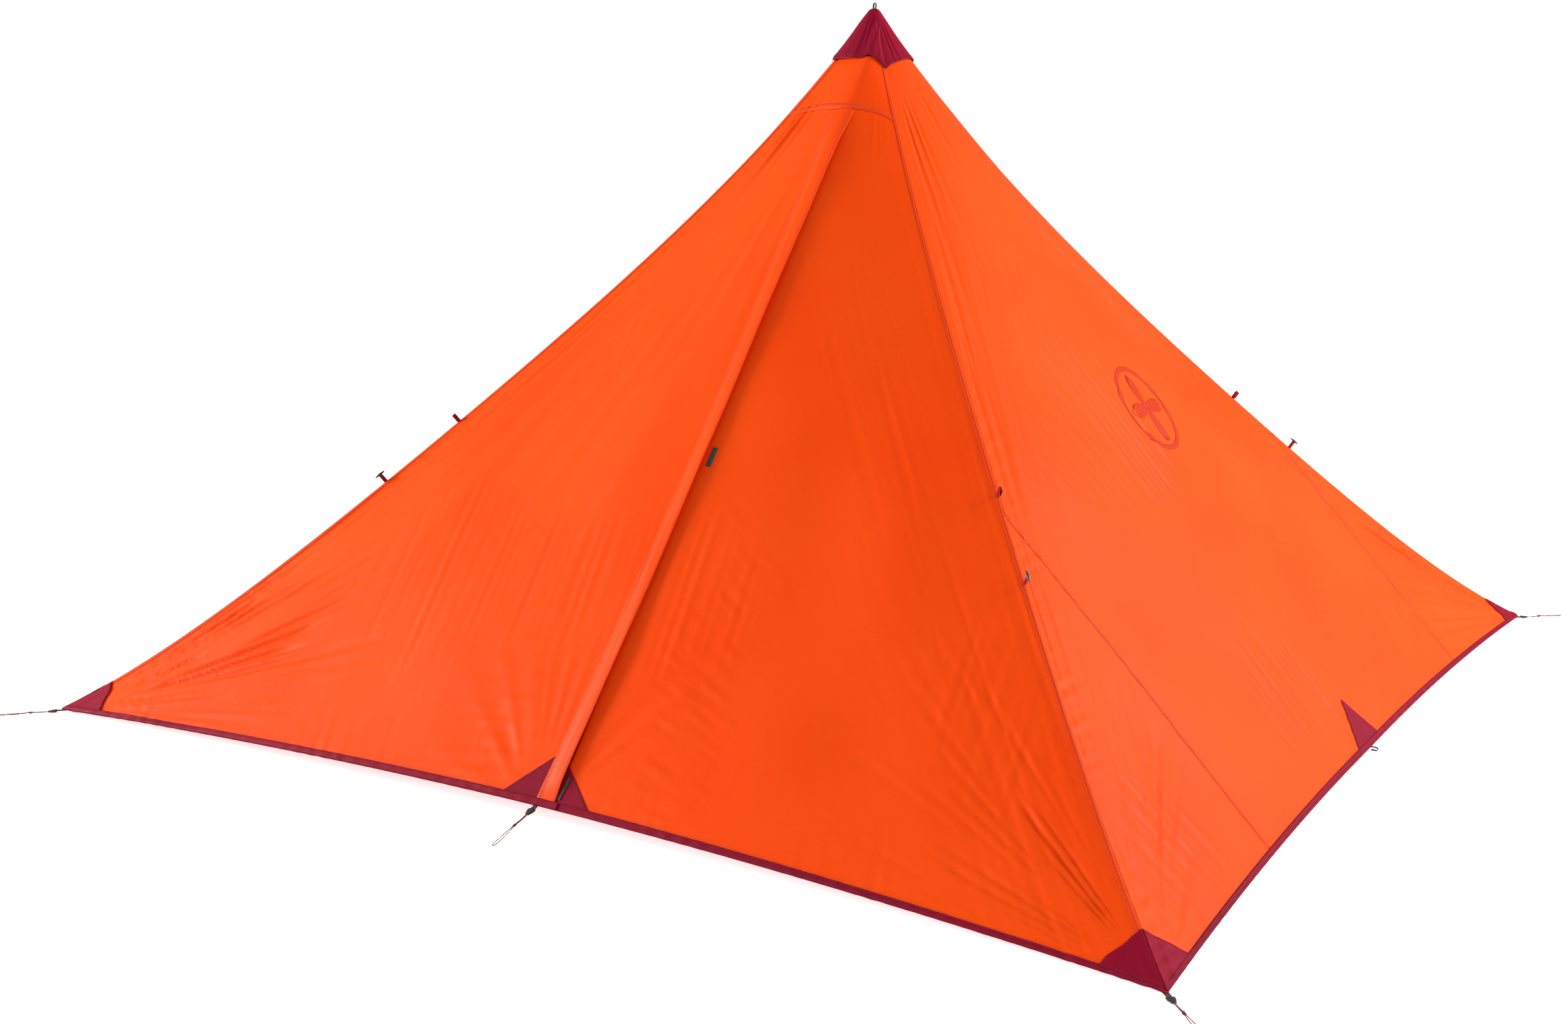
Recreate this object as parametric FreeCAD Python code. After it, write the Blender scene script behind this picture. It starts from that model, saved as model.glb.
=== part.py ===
import FreeCAD
import Part
import math
import os

"""A square pyramid shelter on one centre pole, in millimetres.

The origin is on the ground under the apex, +Z is up and the zipped door in front faces -Y.
A second door, the same one turned half a turn about Z, faces +Y.
Each wall is a height field over the ground. Its ridges sag like a hanging chain, and the line
from the apex to the stake in the middle of the wall stays straight.
Cloth solids are that field thickened straight down, so that neighbours share upright faces.
"""

# Shelter
SIDE = 2790.0  # between two corner tips
HEIGHT = 1665.0  # ground to the top of the cloth
CONE_DROP = 125.0  # apex to the bottom edge of the dark cone
YOKE_DROP = 250.0  # apex to the seam above a door
RIDGE_SAG = 0.375  # sag of a ridge below its chord, over the height
RIDGE_SKEW = 0.054  # more of that sag near the apex
RIDGE_ENDS = 0.12  # steeper ends at the cone and the corner
CORNER_LIFT = 7.0  # cloth above the ground at a corner
DOOR_LIFT = 45.0  # the same in the middle of a door wall
DOOR_INSET = 36.0  # how far that stake point stands in from the straight side
WALL_LIFT = 25.0  # the same two for a plain wall
WALL_INSET = 39.0
HEM_RISE = 6.0  # extra rise and inset of a hem between two stakes
HEM_SCALLOP = 10.0
DOOR_CREASE = 0.12  # softness of the tension line: 0 is a sharp fold
WALL_CREASE = 0.35

# Cloth and trim
CLOTH = 2.0  # upright thickness of a wall
TRIM = 1.2  # upright thickness of a patch or tape
TRIM_GAP = 0.2  # between one layer and the next
TAPE_WIDTH = 13.0
PATCH_RIDGE = 80.0  # corner patch: from the straight sides to its top, square to them
PATCH_HEM = 130.0  # corner patch along the hem
WALL_PATCH_HALF = 84.0
WALL_PATCH_RISE = 78.0  # ground distance from the hem to the top of a middle patch
FOOT_PATCH_LEFT = 136.0  # foot patches along the hem, from the zip line
FOOT_PATCH_RIGHT = 94.0
LEFT_PATCH_RISE = 72.0  # their ground distance from the hem, beside the zip
RIGHT_PATCH_RISE = 55.0
HOOK_WIDTH = 6.5  # hook strip that holds the foot of the flap
HOOK_LENGTH = 32.0
HOOK_OFFSET = 15.0  # from the zip line
TAB_WIDTH = 13.0  # hook tab beside the flap
TAB_LENGTH = 31.0
TAB_OFFSET = 28.0
TAB_OUT = 800.0
GUSSET_RIDGE = 0.56  # share of a ridge above the seam of a lower gusset
GUSSET_HEM = 640.0  # hem length of a lower gusset

# Doors
ZIP_OFFSET = 36.0  # zip line beside the middle of its wall
FOLD_TOP = 6.0  # half distance between the two fold lines at the seam above the door
FOLD_FOOT = 640.0  # the same at the hem
FOLD_GAP = 2.0  # clear of a fold line on each side
FOLD_RAISE = 3.0  # fold axis above the cloth
SEAM_GAP = 1.0  # door clear of the seam above it
ZIP_GAP = 1.0  # half gap between the two rows of teeth
TEETH_WIDTH = 2.2
TEETH_HALF = 1.2
ZIP_TAPE_WIDTH = 8.0  # zip line to the outer edge of a zip tape
ZIP_TAPE_DEPTH = 2.4
ZIP_TAPE = 0.9
ZIP_EDGE = 1.0  # cloth edge clear of the teeth
ZIP_HEAD = 45.0  # teeth start this far below the seam, down the slope
ZIP_FOOT = 24.0  # teeth end this far above the hem
SLIDER_LENGTH = 14.0
SLIDER_CLEAR = 0.4
SLIDER_PLATE = 1.2
SLIDER_HALF = 6.0
PULLER_PIN = 0.9
PULLER_CLEAR = 0.08
PULLER_EYE = 2.2
PULLER_EAR = 1.0
PULLER_LENGTH = 26.0
PULLER_HALF = 2.0
PULLER_THICK = 1.4
FLAP_HALF = 24.0
FLAP_HEAD = 55.0
FLAP_LIFT = 6.5
FLAP_SEAM = 3.0

# Stake fastenings
WEB_WIDTH = 12.0
WEB_THICK = 1.2
WEB_ROOT = 26.0  # sewn under the cloth
WEB_REACH = 15.0
WEB_DROP = 0.1  # below the underside of the cloth
TENSIONER_START = 11.0
TENSIONER_SHOULDER = 19.0
TENSIONER_END = 31.0
TENSIONER_WIDE = 18.0
TENSIONER_NOSE = 9.0
TENSIONER_THICK = 5.0
WEB_CLEAR = 0.3
CORNER_SLOPE = 2.8  # degrees below level
DOOR_SLOPE = 17.0
CORD = 2.0
KNOT_LENGTH = 11.0
KNOT_WIDTH = 6.0
STAKE_LOOP_GAP = 6.0
STAKE_LOOP_REACH = 16.0

# Ridge loops, toggles and the apex loop
LOOP_SHARE = 0.52  # place down the ridge
TOGGLE_SHARE = 0.61
LOOP_REACH = 20.0
LOOP_GAP = 5.0
LOOP_TAPE = 1.2
LOOP_WIDTH = 10.0
LOOP_CLEAR = 1.0  # root of a loop above the ridge
TOGGLE_REACH = 26.0
TOGGLE_RADIUS = 3.0
TOGGLE_LENGTH = 28.0
APEX_LOOP_REACH = 18.0
APEX_LOOP_WIDTH = 8.0

# Pole
FOOT_RADIUS = 22.0
FOOT_RIM = 5.0
FOOT_NECK = 15.0
FOOT_HEIGHT = 30.0
LOWER_RADIUS = 11.0
LOWER_START = 6.0
LOWER_TOP = 900.0
TUBE_WALL = 1.0
UPPER_CLEAR = 0.08
UPPER_FOOT = 560.0
COLLAR_RADIUS = 15.0
COLLAR_START = 868.0
COLLAR_TOP = 916.0
COLLAR_LIP = 0.4  # lip above the lower tube clear of the upper one
PIVOT_X = 19.6
PIVOT_Z = 905.0
LEVER_PIN = 1.5
LEVER_CLEAR = 0.08
LEVER_EYE = 4.0
LEVER_LENGTH = 40.0
LEVER_HALF = 7.0
LEVER_THICK = 3.6
EAR_CLEAR = 0.3
EAR_THICK = 3.0
TIP_RADIUS = 12.0
TIP_HEIGHT = 22.0
CUP_CLEAR = 0.4
CUP_WALL = 2.5
CUP_DEPTH = 16.0
CUP_DROP = 38.0  # roof of the cup below the top of the cloth

V = FreeCAD.Vector
UP = V(0, 0, 1)
ORIGIN = V(0, 0, 0)
half = SIDE / 2
yoke_z = HEIGHT - YOKE_DROP
cone_z = HEIGHT - CONE_DROP
cloth_top = cone_z - CLOTH - TRIM_GAP
cloth_edge = ZIP_GAP + TEETH_WIDTH + ZIP_EDGE


def ridge_drop(u):
    """Sag of a ridge at share u of the way out, over the height."""
    return u * (1 - u) * (RIDGE_SAG + RIDGE_SKEW * (1 - 2 * u) + RIDGE_ENDS * (1 - 6 * u * (1 - u)))


def ridge_height(u):
    return HEIGHT * (1 - u - ridge_drop(u)) + CORNER_LIFT * u


def soft(t, ease):
    """|t| with its corner at zero rounded off: still 0 at 0 and 1 at 1."""
    return (math.sqrt(t * t + ease * ease) - ease) / (math.sqrt(1 + ease * ease) - ease)


class Wall:
    """A wall seen from outside: `along` runs to the right and `out` away from the pole."""

    def __init__(self, line, crease, lift, inset):
        self.line = line  # where the tension line runs
        self.crease = crease
        self.lift = lift
        self.inset = inset

    def hem(self, s):
        """(inset, lift) of the hem at share s of the half side."""
        a = soft(s, 0.05)
        bow = 4 * a * (1 - a)
        inset = self.inset * (1 - a) + HEM_SCALLOP * bow
        lift = CORNER_LIFT + (self.lift - CORNER_LIFT) * (1 - a) + HEM_RISE * bow
        return inset, lift

    def at(self, u, s, t):
        """The place at share u out and s across, where t is 0 on the tension line and 1 on a ridge."""
        inset, lift = self.hem(s)
        z = HEIGHT * (1 - u - soft(t, self.crease) * ridge_drop(u)) + lift * u
        return V(s * u * half, -u * (half - inset), z)

    def point(self, along, out):
        """The place on the outside of the cloth above (along, out) on the ground."""
        u = out / half
        for _ in range(5):
            s = max(-1.0, min(1.0, along / (u * half)))
            u = out / (half - self.hem(s)[0])
        side = u * half - self.line if along > self.line else u * half + self.line
        return self.at(u, s, min(1.0, abs(along - self.line) / side))

    def hem_out(self, along):
        return half - self.hem(along / half)[0]

    def out_at(self, along, z):
        """How far out the cloth is at height z."""
        low = 60.0
        high = self.hem_out(along)
        for _ in range(40):
            middle = (low + high) / 2
            if self.point(along, middle).z > z:
                low = middle
            else:
                high = middle
        return low


DOOR_WALL = Wall(ZIP_OFFSET, DOOR_CREASE, DOOR_LIFT, DOOR_INSET)
PLAIN_WALL = Wall(0.0, WALL_CREASE, WALL_LIFT, WALL_INSET)


def sheet(rows, rise, thickness):
    """A smooth surface through rows of points, raised and thickened straight up."""
    surface = Part.BSplineSurface()
    surface.interpolate(rows)
    solid = surface.toShape().extrude(UP * thickness)
    return solid.translated(UP * rise)


def whole_wall(wall, rise, thickness):
    """A wall from inside the cone to its hem, `rise` above the cloth's outside."""
    rows = []
    for i in range(25):
        u = 0.045 + 0.955 * (i / 24) ** 1.15
        row = []
        for j in range(-14, 15):
            t = abs(j / 14) ** 1.4
            side = u * half + math.copysign(1, -j) * wall.line
            along = wall.line + math.copysign(t, j) * side
            row.append(wall.at(u, max(-1.0, min(1.0, along / (u * half))), t))
        rows.append(row)
    return sheet(rows, rise, thickness)


def hem_tape(wall, start, end):
    """A tape along the hem on the outside, from one place along it to another."""
    rows = []
    for across in (0.0, 0.5, 1.0):
        row = []
        for i in range(17):
            s = (start + (end - start) * i / 16) / half
            out = wall.hem_out(s * half) - across * TAPE_WIDTH
            row.append(wall.point(s * half * out / wall.hem_out(s * half), out))
        rows.append(row)
    return sheet(rows, TRIM + 2 * TRIM_GAP, TRIM)


def band(wall, left, right, top, rise, thickness):
    """A band of constant width down a wall, between two places along it, to the hem tape."""
    rows = []
    for i in range(25):
        row = []
        for j in range(7):
            along = left + (right - left) * j / 6
            foot = wall.hem_out(along) - TAPE_WIDTH - TRIM_GAP
            row.append(wall.point(along, top + (foot - top) * i / 24))
        rows.append(row)
    return sheet(rows, rise, thickness)


def prism(outline, low=-100.0, high=HEIGHT + 100.0):
    """An upright block over an outline of (along, out) places."""
    corners = [V(along, -out, low) for along, out in outline]
    face = Part.Face(Part.makePolygon(corners + corners[:1]))
    return face.extrude(UP * (high - low))


def only(shape):
    """The one solid that a cut leaves."""
    assert len(shape.Solids) == 1, len(shape.Solids)
    return shape.Solids[0]


def turn(shape, quarters):
    return shape.rotated(ORIGIN, UP, 90.0 * quarters)


class Frame:
    """A local frame: d along the piece, w across it, n = d x w."""

    def __init__(self, origin, d, w):
        self.origin = origin
        self.d = d
        self.w = w
        self.n = d.cross(w)

    def put(self, d, w, n):
        return self.origin + self.d * d + self.w * w + self.n * n

    def block(self, d, w, n):
        """A box between (low, high) pairs in the three directions."""
        corners = [self.put(d[0], y, z) for y, z in ((w[0], n[0]), (w[1], n[0]), (w[1], n[1]), (w[0], n[1]))]
        return Part.Face(Part.makePolygon(corners + corners[:1])).extrude(self.d * (d[1] - d[0]))

    def bar(self, outline, d):
        """An outline of (w, n) places drawn out from d[0] to d[1]."""
        corners = [self.put(d[0], w, n) for w, n in outline]
        return Part.Face(Part.makePolygon(corners + corners[:1])).extrude(self.d * (d[1] - d[0]))

    def plate(self, outline, n):
        """An outline of (d, w) places thickened from n[0] to n[1]."""
        corners = [self.put(d, w, n[0]) for d, w in outline]
        return Part.Face(Part.makePolygon(corners + corners[:1])).extrude(self.n * (n[1] - n[0]))

    def pin(self, radius, d, w, n):
        """A round bar along w."""
        return Part.makeCylinder(radius, w[1] - w[0], self.put(d, w[0], n), self.w)


def save(node, *shapes):
    shape = shapes[0] if len(shapes) == 1 else Part.makeCompound(shapes)
    shape.exportStep("parts/%s.step" % node)


def tube_path(name, points):
    """Straight runs joined by tangent arcs, each arc as large as its two runs allow."""
    edges = []
    radii = []
    start = points[0]
    for before, at, after in zip(points, points[1:], points[2:]):
        into = at - before
        onward = after - at
        shorter = min(into.Length, onward.Length)
        into.normalize()
        onward.normalize()
        angle = into.getAngle(onward)
        radius = 0.45 * shorter / math.tan(angle / 2)
        radii.append(radius)
        first = at - into * (0.45 * shorter)
        last = at + onward * (0.45 * shorter)
        inward = (onward - into).normalize()
        centre = at + inward * (radius / math.cos(angle / 2))
        edges.append(Part.LineSegment(start, first).toShape())
        edges.append(Part.Arc(first, centre - inward * radius, last).toShape())
        start = last
    edges.append(Part.LineSegment(start, points[-1]).toShape())
    path = Part.Wire(edges)
    print("%s: length %.1f, smallest radii %s" % (name, path.Length, [round(r, 1) for r in sorted(radii)[:4]]))
    return path


def cord(name, points):
    path = tube_path(name, points)
    section = Part.Wire(Part.makeCircle(CORD / 2, points[0], points[1] - points[0]))
    solid = path.makePipeShell([section], True, False)
    print("  volume over section times length: %.4f" % (solid.Volume / (math.pi * CORD**2 / 4 * path.Length)))
    return solid


os.makedirs("parts", exist_ok=True)

# Apex: a round cone of dark cloth over the tops of the walls, a cup for the pole and a loop.
cone_radius = PLAIN_WALL.out_at(0.0, cone_z) + TRIM
cone_crown = 7.0
cone_points = [
    V(cone_crown, 0, HEIGHT),
    V(cone_crown + (cone_radius - cone_crown) * 0.45, 0, cone_z + CONE_DROP * 0.5),
    V(cone_radius, 0, cone_z),
]
flare = Part.BSplineCurve()
flare.interpolate(cone_points)
down = UP * -CLOTH
cone_edges = [
    Part.makeLine(V(0, 0, HEIGHT), cone_points[0]),
    flare.toShape(),
    Part.makeLine(cone_points[2], cone_points[2] + down),
    flare.toShape().translated(down),
    Part.makeLine(cone_points[0] + down, V(0, 0, HEIGHT) + down),
    Part.makeLine(V(0, 0, HEIGHT) + down, V(0, 0, HEIGHT)),
]
cone_outline = Part.Wire(Part.__sortEdges__(cone_edges))
save("apex_cone", Part.Face(cone_outline).revolve(ORIGIN, UP, 360))

cup_roof = HEIGHT - CUP_DROP
cup_bore = TIP_RADIUS + CUP_CLEAR
cup = Part.makeCylinder(cup_bore + CUP_WALL, CUP_DEPTH + CUP_WALL, V(0, 0, cup_roof - CUP_DEPTH))
cup = cup.cut(Part.makeCylinder(cup_bore, CUP_DEPTH, V(0, 0, cup_roof - CUP_DEPTH)))
cup_stem = Part.makeCylinder(4.0, CUP_DROP - CUP_WALL - CLOTH, V(0, 0, cup_roof + CUP_WALL))
save("apex_cup", cup.fuse(cup_stem).removeSplitter())


def tape_loop(frame, reach, gap, width, tape):
    """A loop of tape standing along d, its flat sides across n and its width along w."""
    wide = gap / 2 + tape
    outer = frame.block((0, reach - wide), (-width / 2, width / 2), (-wide, wide))
    outer = outer.fuse(frame.pin(wide, reach - wide, (-width / 2, width / 2), 0))
    slot = frame.block((tape, reach - wide), (-width / 2 - 1, width / 2 + 1), (-gap / 2, gap / 2))
    slot = slot.fuse(frame.pin(gap / 2, reach - wide, (-width / 2 - 1, width / 2 + 1), 0))
    return outer.cut(slot)


apex_frame = Frame(V(0, 0, HEIGHT), UP, V(0, 1, 0))
save("apex_loop", tape_loop(apex_frame, APEX_LOOP_REACH, LOOP_GAP, APEX_LOOP_WIDTH, LOOP_TAPE))

# Plain walls: one large panel with a gusset let into each lower corner.
plain_cloth = whole_wall(PLAIN_WALL, -CLOTH, CLOTH)
plain_trim = whole_wall(PLAIN_WALL, TRIM_GAP, TRIM)
gusset_top = GUSSET_RIDGE * half
gusset_foot = half - GUSSET_HEM
beyond = half + 100


def corner_block(ridge, foot, foot_out, side=1):
    """An upright block over the corner that a line cuts off, from a ridge to the hem."""
    slope = (foot - ridge) / (foot_out - ridge)
    start = ridge - 60
    outline = [
        (side * (ridge + (start - ridge) * slope), start),
        (side * (ridge + (beyond - ridge) * slope), beyond),
        (side * beyond, beyond),
        (side * beyond, start),
    ]
    return prism(outline)


gusset_right = corner_block(gusset_top, gusset_foot, PLAIN_WALL.hem_out(gusset_foot))
gusset_left = gusset_right.mirror(ORIGIN, V(1, 0, 0))
below_cone = prism([(-beyond, 0), (beyond, 0), (beyond, beyond), (-beyond, beyond)], -100.0, cloth_top)
plain_main = only(plain_cloth.common(below_cone).cut(gusset_right).cut(gusset_left))
gussets = [only(plain_cloth.common(gusset_left)), only(plain_cloth.common(gusset_right))]


def corner_patch(trim, wall, side):
    """The dark triangle on the left (-1) or right (1) end of a wall."""
    foot = half - PATCH_HEM
    return only(trim.common(corner_block(half - PATCH_RIDGE, foot, wall.hem_out(foot), side)))


middle = PLAIN_WALL.hem_out(0.0)
middle_triangle = [
    (0.0, middle - WALL_PATCH_RISE),
    (-WALL_PATCH_HALF, PLAIN_WALL.hem_out(WALL_PATCH_HALF)),
    (-WALL_PATCH_HALF, beyond),
    (WALL_PATCH_HALF, beyond),
    (WALL_PATCH_HALF, PLAIN_WALL.hem_out(WALL_PATCH_HALF)),
]
middle_patch = only(plain_trim.common(prism(middle_triangle)))
plain_ends = [corner_patch(plain_trim, PLAIN_WALL, side) for side in (-1, 1)]
plain_hem = hem_tape(PLAIN_WALL, -half, half)
for name, quarter in (("right", 1), ("left", 3)):
    save(name + "_wall", turn(plain_main, quarter))
save("wall_gussets", *[turn(gusset, quarter) for gusset in gussets for quarter in (1, 3)])
save("wall_hems", turn(plain_hem, 1), turn(plain_hem, 3))
save("wall_patches", turn(middle_patch, 1), turn(middle_patch, 3))

# Door walls: a yoke under the cone, a fixed panel on each side and two door halves between.
door_cloth = whole_wall(DOOR_WALL, -CLOTH, CLOTH)
door_trim = whole_wall(DOOR_WALL, TRIM_GAP, TRIM)
yoke_block = prism([(-beyond, 0), (beyond, 0), (beyond, beyond), (-beyond, beyond)], yoke_z, cloth_top)
yoke = only(door_cloth.common(yoke_block))
head_out = DOOR_WALL.out_at(ZIP_OFFSET, yoke_z)


class Fold:
    """The line that a door half folds back along, on the left (-1) or right (1) of the zip."""

    def __init__(self, side):
        self.side = side
        self.top = (ZIP_OFFSET + side * FOLD_TOP, head_out)
        foot = ZIP_OFFSET + side * FOLD_FOOT
        self.foot = (foot, DOOR_WALL.hem_out(foot))
        run = math.hypot(self.foot[0] - self.top[0], self.foot[1] - self.top[1])
        self.way = ((self.foot[0] - self.top[0]) / run, (self.foot[1] - self.top[1]) / run)

    def place(self, down, gap):
        """A place on the line, moved `gap` away from the zip."""
        away = self.side * gap
        return (
            self.top[0] + self.way[0] * down + abs(self.way[1]) * away,
            self.top[1] + self.way[1] * down - self.way[0] * away,
        )

    def run_to(self, along, gap):
        """How far down the moved line meets a line along the zip."""
        return (along - self.place(0, gap)[0]) / self.way[0]


def door_half(side):
    """(fixed panel, door panel) on one side of the zip."""
    fold = Fold(side)
    far = side * 2 * beyond
    fixed = [fold.place(-400, FOLD_GAP), fold.place(2 * beyond, FOLD_GAP), (far, 2 * beyond), (far, -400)]
    panel = only(door_cloth.common(prism(fixed, -100.0, yoke_z)))
    edge = ZIP_OFFSET + side * cloth_edge
    top = fold.place(fold.run_to(edge, -FOLD_GAP), -FOLD_GAP)
    moving = [top, fold.place(2 * beyond, -FOLD_GAP), (edge, 2 * beyond)]
    door = only(door_cloth.common(prism(moving, -100.0, yoke_z - SEAM_GAP)))
    return panel, door


def foot_patch(side, reach, rise):
    """The dark triangle at the foot of the zip."""
    edge = ZIP_OFFSET + side * cloth_edge
    far = ZIP_OFFSET + side * reach
    outline = [
        (edge, DOOR_WALL.hem_out(edge) - rise),
        (far, DOOR_WALL.hem_out(far)),
        (far, beyond),
        (edge, beyond),
    ]
    return only(door_trim.common(prism(outline)))


# Zip: two rows of teeth as straight rails on tapes, with a gap between for the slider's diamond.
zip_top = DOOR_WALL.point(ZIP_OFFSET, head_out)
zip_foot = DOOR_WALL.point(ZIP_OFFSET, DOOR_WALL.hem_out(ZIP_OFFSET))
zip_way = (zip_foot - zip_top).normalize()
zip_length = (zip_foot - zip_top).Length
zip_frame = Frame(zip_top, zip_way, V(1, 0, 0))
teeth_end = zip_length - ZIP_FOOT


def zip_half(side):
    teeth = ZIP_GAP + TEETH_WIDTH
    web = teeth - ZIP_TAPE
    low = -ZIP_TAPE_DEPTH - ZIP_TAPE
    outline = [
        (ZIP_GAP, TEETH_HALF),
        (teeth, TEETH_HALF),
        (teeth, -ZIP_TAPE_DEPTH),
        (ZIP_TAPE_WIDTH, -ZIP_TAPE_DEPTH),
        (ZIP_TAPE_WIDTH, low),
        (web, low),
        (web, -TEETH_HALF),
        (ZIP_GAP, -TEETH_HALF),
    ]
    return zip_frame.bar([(side * w, n) for w, n in outline], (ZIP_HEAD, teeth_end))


slider_span = (teeth_end - SLIDER_LENGTH, teeth_end)
plate_low = TEETH_HALF + SLIDER_CLEAR
under_high = -ZIP_TAPE_DEPTH - ZIP_TAPE - SLIDER_CLEAR
under_low = under_high - SLIDER_PLATE
slider_half = (-SLIDER_HALF, SLIDER_HALF)
slider = zip_frame.block(slider_span, slider_half, (plate_low, plate_low + SLIDER_PLATE))
slider = slider.fuse(zip_frame.block(slider_span, slider_half, (under_low, under_high)))
diamond = ZIP_GAP - SLIDER_CLEAR
slider = slider.fuse(zip_frame.block(slider_span, (-diamond, diamond), (under_low, plate_low + SLIDER_PLATE)))
pin_d = teeth_end - SLIDER_LENGTH / 2
pin_n = under_low - PULLER_EYE - SLIDER_CLEAR
ear_low = PULLER_HALF + SLIDER_CLEAR
ear_high = ear_low + PULLER_EAR
for side in (-1, 1):
    ear = sorted((side * ear_low, side * ear_high))
    slider = slider.fuse(zip_frame.block((pin_d - 2, pin_d + 2), ear, (pin_n - 2, under_high)))
slider = slider.fuse(zip_frame.pin(PULLER_PIN, pin_d, (-ear_high, ear_high), pin_n)).removeSplitter()
puller_frame = Frame(zip_frame.put(pin_d, 0, pin_n), V(0, 0, -1), V(1, 0, 0))
tab = (-PULLER_HALF, PULLER_HALF)
puller = puller_frame.pin(PULLER_EYE, 0, tab, 0)
puller = puller.fuse(puller_frame.block((0, PULLER_LENGTH), tab, (-PULLER_THICK / 2, PULLER_THICK / 2)))
puller = puller.cut(puller_frame.pin(PULLER_PIN + PULLER_CLEAR, 0, (-9, 9), 0)).removeSplitter()

# Storm flap: sewn to the left door half beside the zip, over the zip and free on the right.
flap_top = head_out - zip_way.y * FLAP_HEAD
flap_left = ZIP_OFFSET - FLAP_HALF
flap = band(DOOR_WALL, flap_left, ZIP_OFFSET + FLAP_HALF, flap_top, FLAP_LIFT, CLOTH)
seam_rise = TRIM + 2 * TRIM_GAP
flap_seam = band(DOOR_WALL, flap_left, flap_left + FLAP_SEAM, flap_top, seam_rise, FLAP_LIFT - seam_rise)


# Foot patches, and the two hook pieces on the right half that hold the flap down.
left_foot_patch = foot_patch(-1, FOOT_PATCH_LEFT, LEFT_PATCH_RISE)
right_foot_patch = foot_patch(1, FOOT_PATCH_RIGHT, RIGHT_PATCH_RISE)
hook_left = ZIP_OFFSET + HOOK_OFFSET
hook_top = DOOR_WALL.hem_out(hook_left) - TAPE_WIDTH - HOOK_LENGTH
hook_strip = band(DOOR_WALL, hook_left, hook_left + HOOK_WIDTH, hook_top, seam_rise, TRIM)
tab_left = ZIP_OFFSET + TAB_OFFSET
tab_outline = [
    (tab_left, TAB_OUT),
    (tab_left + TAB_WIDTH, TAB_OUT),
    (tab_left + TAB_WIDTH, TAB_OUT + TAB_LENGTH),
    (tab_left, TAB_OUT + TAB_LENGTH),
]
hook_tab = only(door_trim.common(prism(tab_outline)))

# Stake fastenings: a strap sewn under the hem, a tensioner and a knotted loop of cord.
def strap(ground, direction, inner, slope):
    """(solid, frame) of a strap bent at the hem. `inner` is the underside of the cloth inside."""
    across = direction.cross(UP) * -1
    rise = inner - ground
    lower = V(0, 0, 1)
    up_root = across.cross(rise).normalize()
    if up_root.z < 0:
        up_root = up_root * -1
    outward = direction * math.cos(math.radians(slope)) - UP * math.sin(math.radians(slope))
    up_end = (UP * math.cos(math.radians(slope)) + direction * math.sin(math.radians(slope))).normalize()
    miter = (up_root + up_end).normalize()
    bend = miter * (WEB_THICK / miter.dot(up_end))
    root = ground + rise.normalize() * WEB_ROOT
    end = ground + outward * WEB_REACH
    top = [root, ground, end]
    low = [root - up_root * WEB_THICK, ground - bend, end - up_end * WEB_THICK]
    outline = [p - across * (WEB_WIDTH / 2) for p in top + low[::-1]]
    solid = Part.Face(Part.makePolygon(outline + outline[:1])).extrude(across * WEB_WIDTH)
    return solid, Frame(ground - up_end * (WEB_THICK / 2), outward, up_end.cross(outward))


def tensioner(frame):
    """A flat plastic ladder that grips the strap at its wide end and the cord at its nose."""
    wide = TENSIONER_WIDE / 2
    nose = TENSIONER_NOSE / 2
    thick = TENSIONER_THICK / 2
    outline = [
        (TENSIONER_START, -wide),
        (TENSIONER_SHOULDER, -wide),
        (TENSIONER_END, -nose),
        (TENSIONER_END, nose),
        (TENSIONER_SHOULDER, wide),
        (TENSIONER_START, wide),
    ]
    body = frame.plate(outline, (-thick, thick))
    slot = WEB_WIDTH / 2 + WEB_CLEAR
    gap = WEB_THICK / 2 + WEB_CLEAR
    return body.cut(frame.block((TENSIONER_START - 1, WEB_REACH + WEB_CLEAR), (-slot, slot), (-gap, gap)))


# The doubled cord from the tensioner through the knot and round the open loop, as (d, w, n).
LOOP_ROUTE = [
    (31.0, -1.4, 0.0),
    (44.0, -1.4, 0.0),
    (57.0, -1.2, 1.2),
    (69.0, -1.25, 2.1),
    (81.0, -1.7, 2.2),
    (94.0, -2.7, 2.1),
    (107.0, -3.4, 2.4),
    (119.0, -3.7, 3.0),
    (130.0, -3.6, 3.5),
    (138.0, -3.2, 3.8),
    (143.0, -1.6, 4.0),
    (143.2, 1.7, 4.1),
    (138.2, 3.3, 3.9),
    (130.0, 3.8, 3.6),
    (119.0, 3.9, 3.1),
    (107.0, 3.5, 2.5),
    (94.0, 2.6, 2.2),
    (81.0, 1.6, 2.3),
    (69.0, 1.25, 2.1),
    (57.0, 1.3, 1.1),
    (44.0, 1.4, 0.0),
    (31.0, 1.4, 0.0),
]
KNOT_AT = (69.0, 0.0, 2.1)


def loop_cord(name, frame, sway):
    """The cord of one fastening, pushed sideways by `sway` at its far end."""
    first = LOOP_ROUTE[0][0]
    span = LOOP_ROUTE[10][0] - first
    points = [frame.put(d, w + sway * ((d - first) / span) ** 2, n) for d, w, n in LOOP_ROUTE]
    return cord(name, points)


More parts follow.
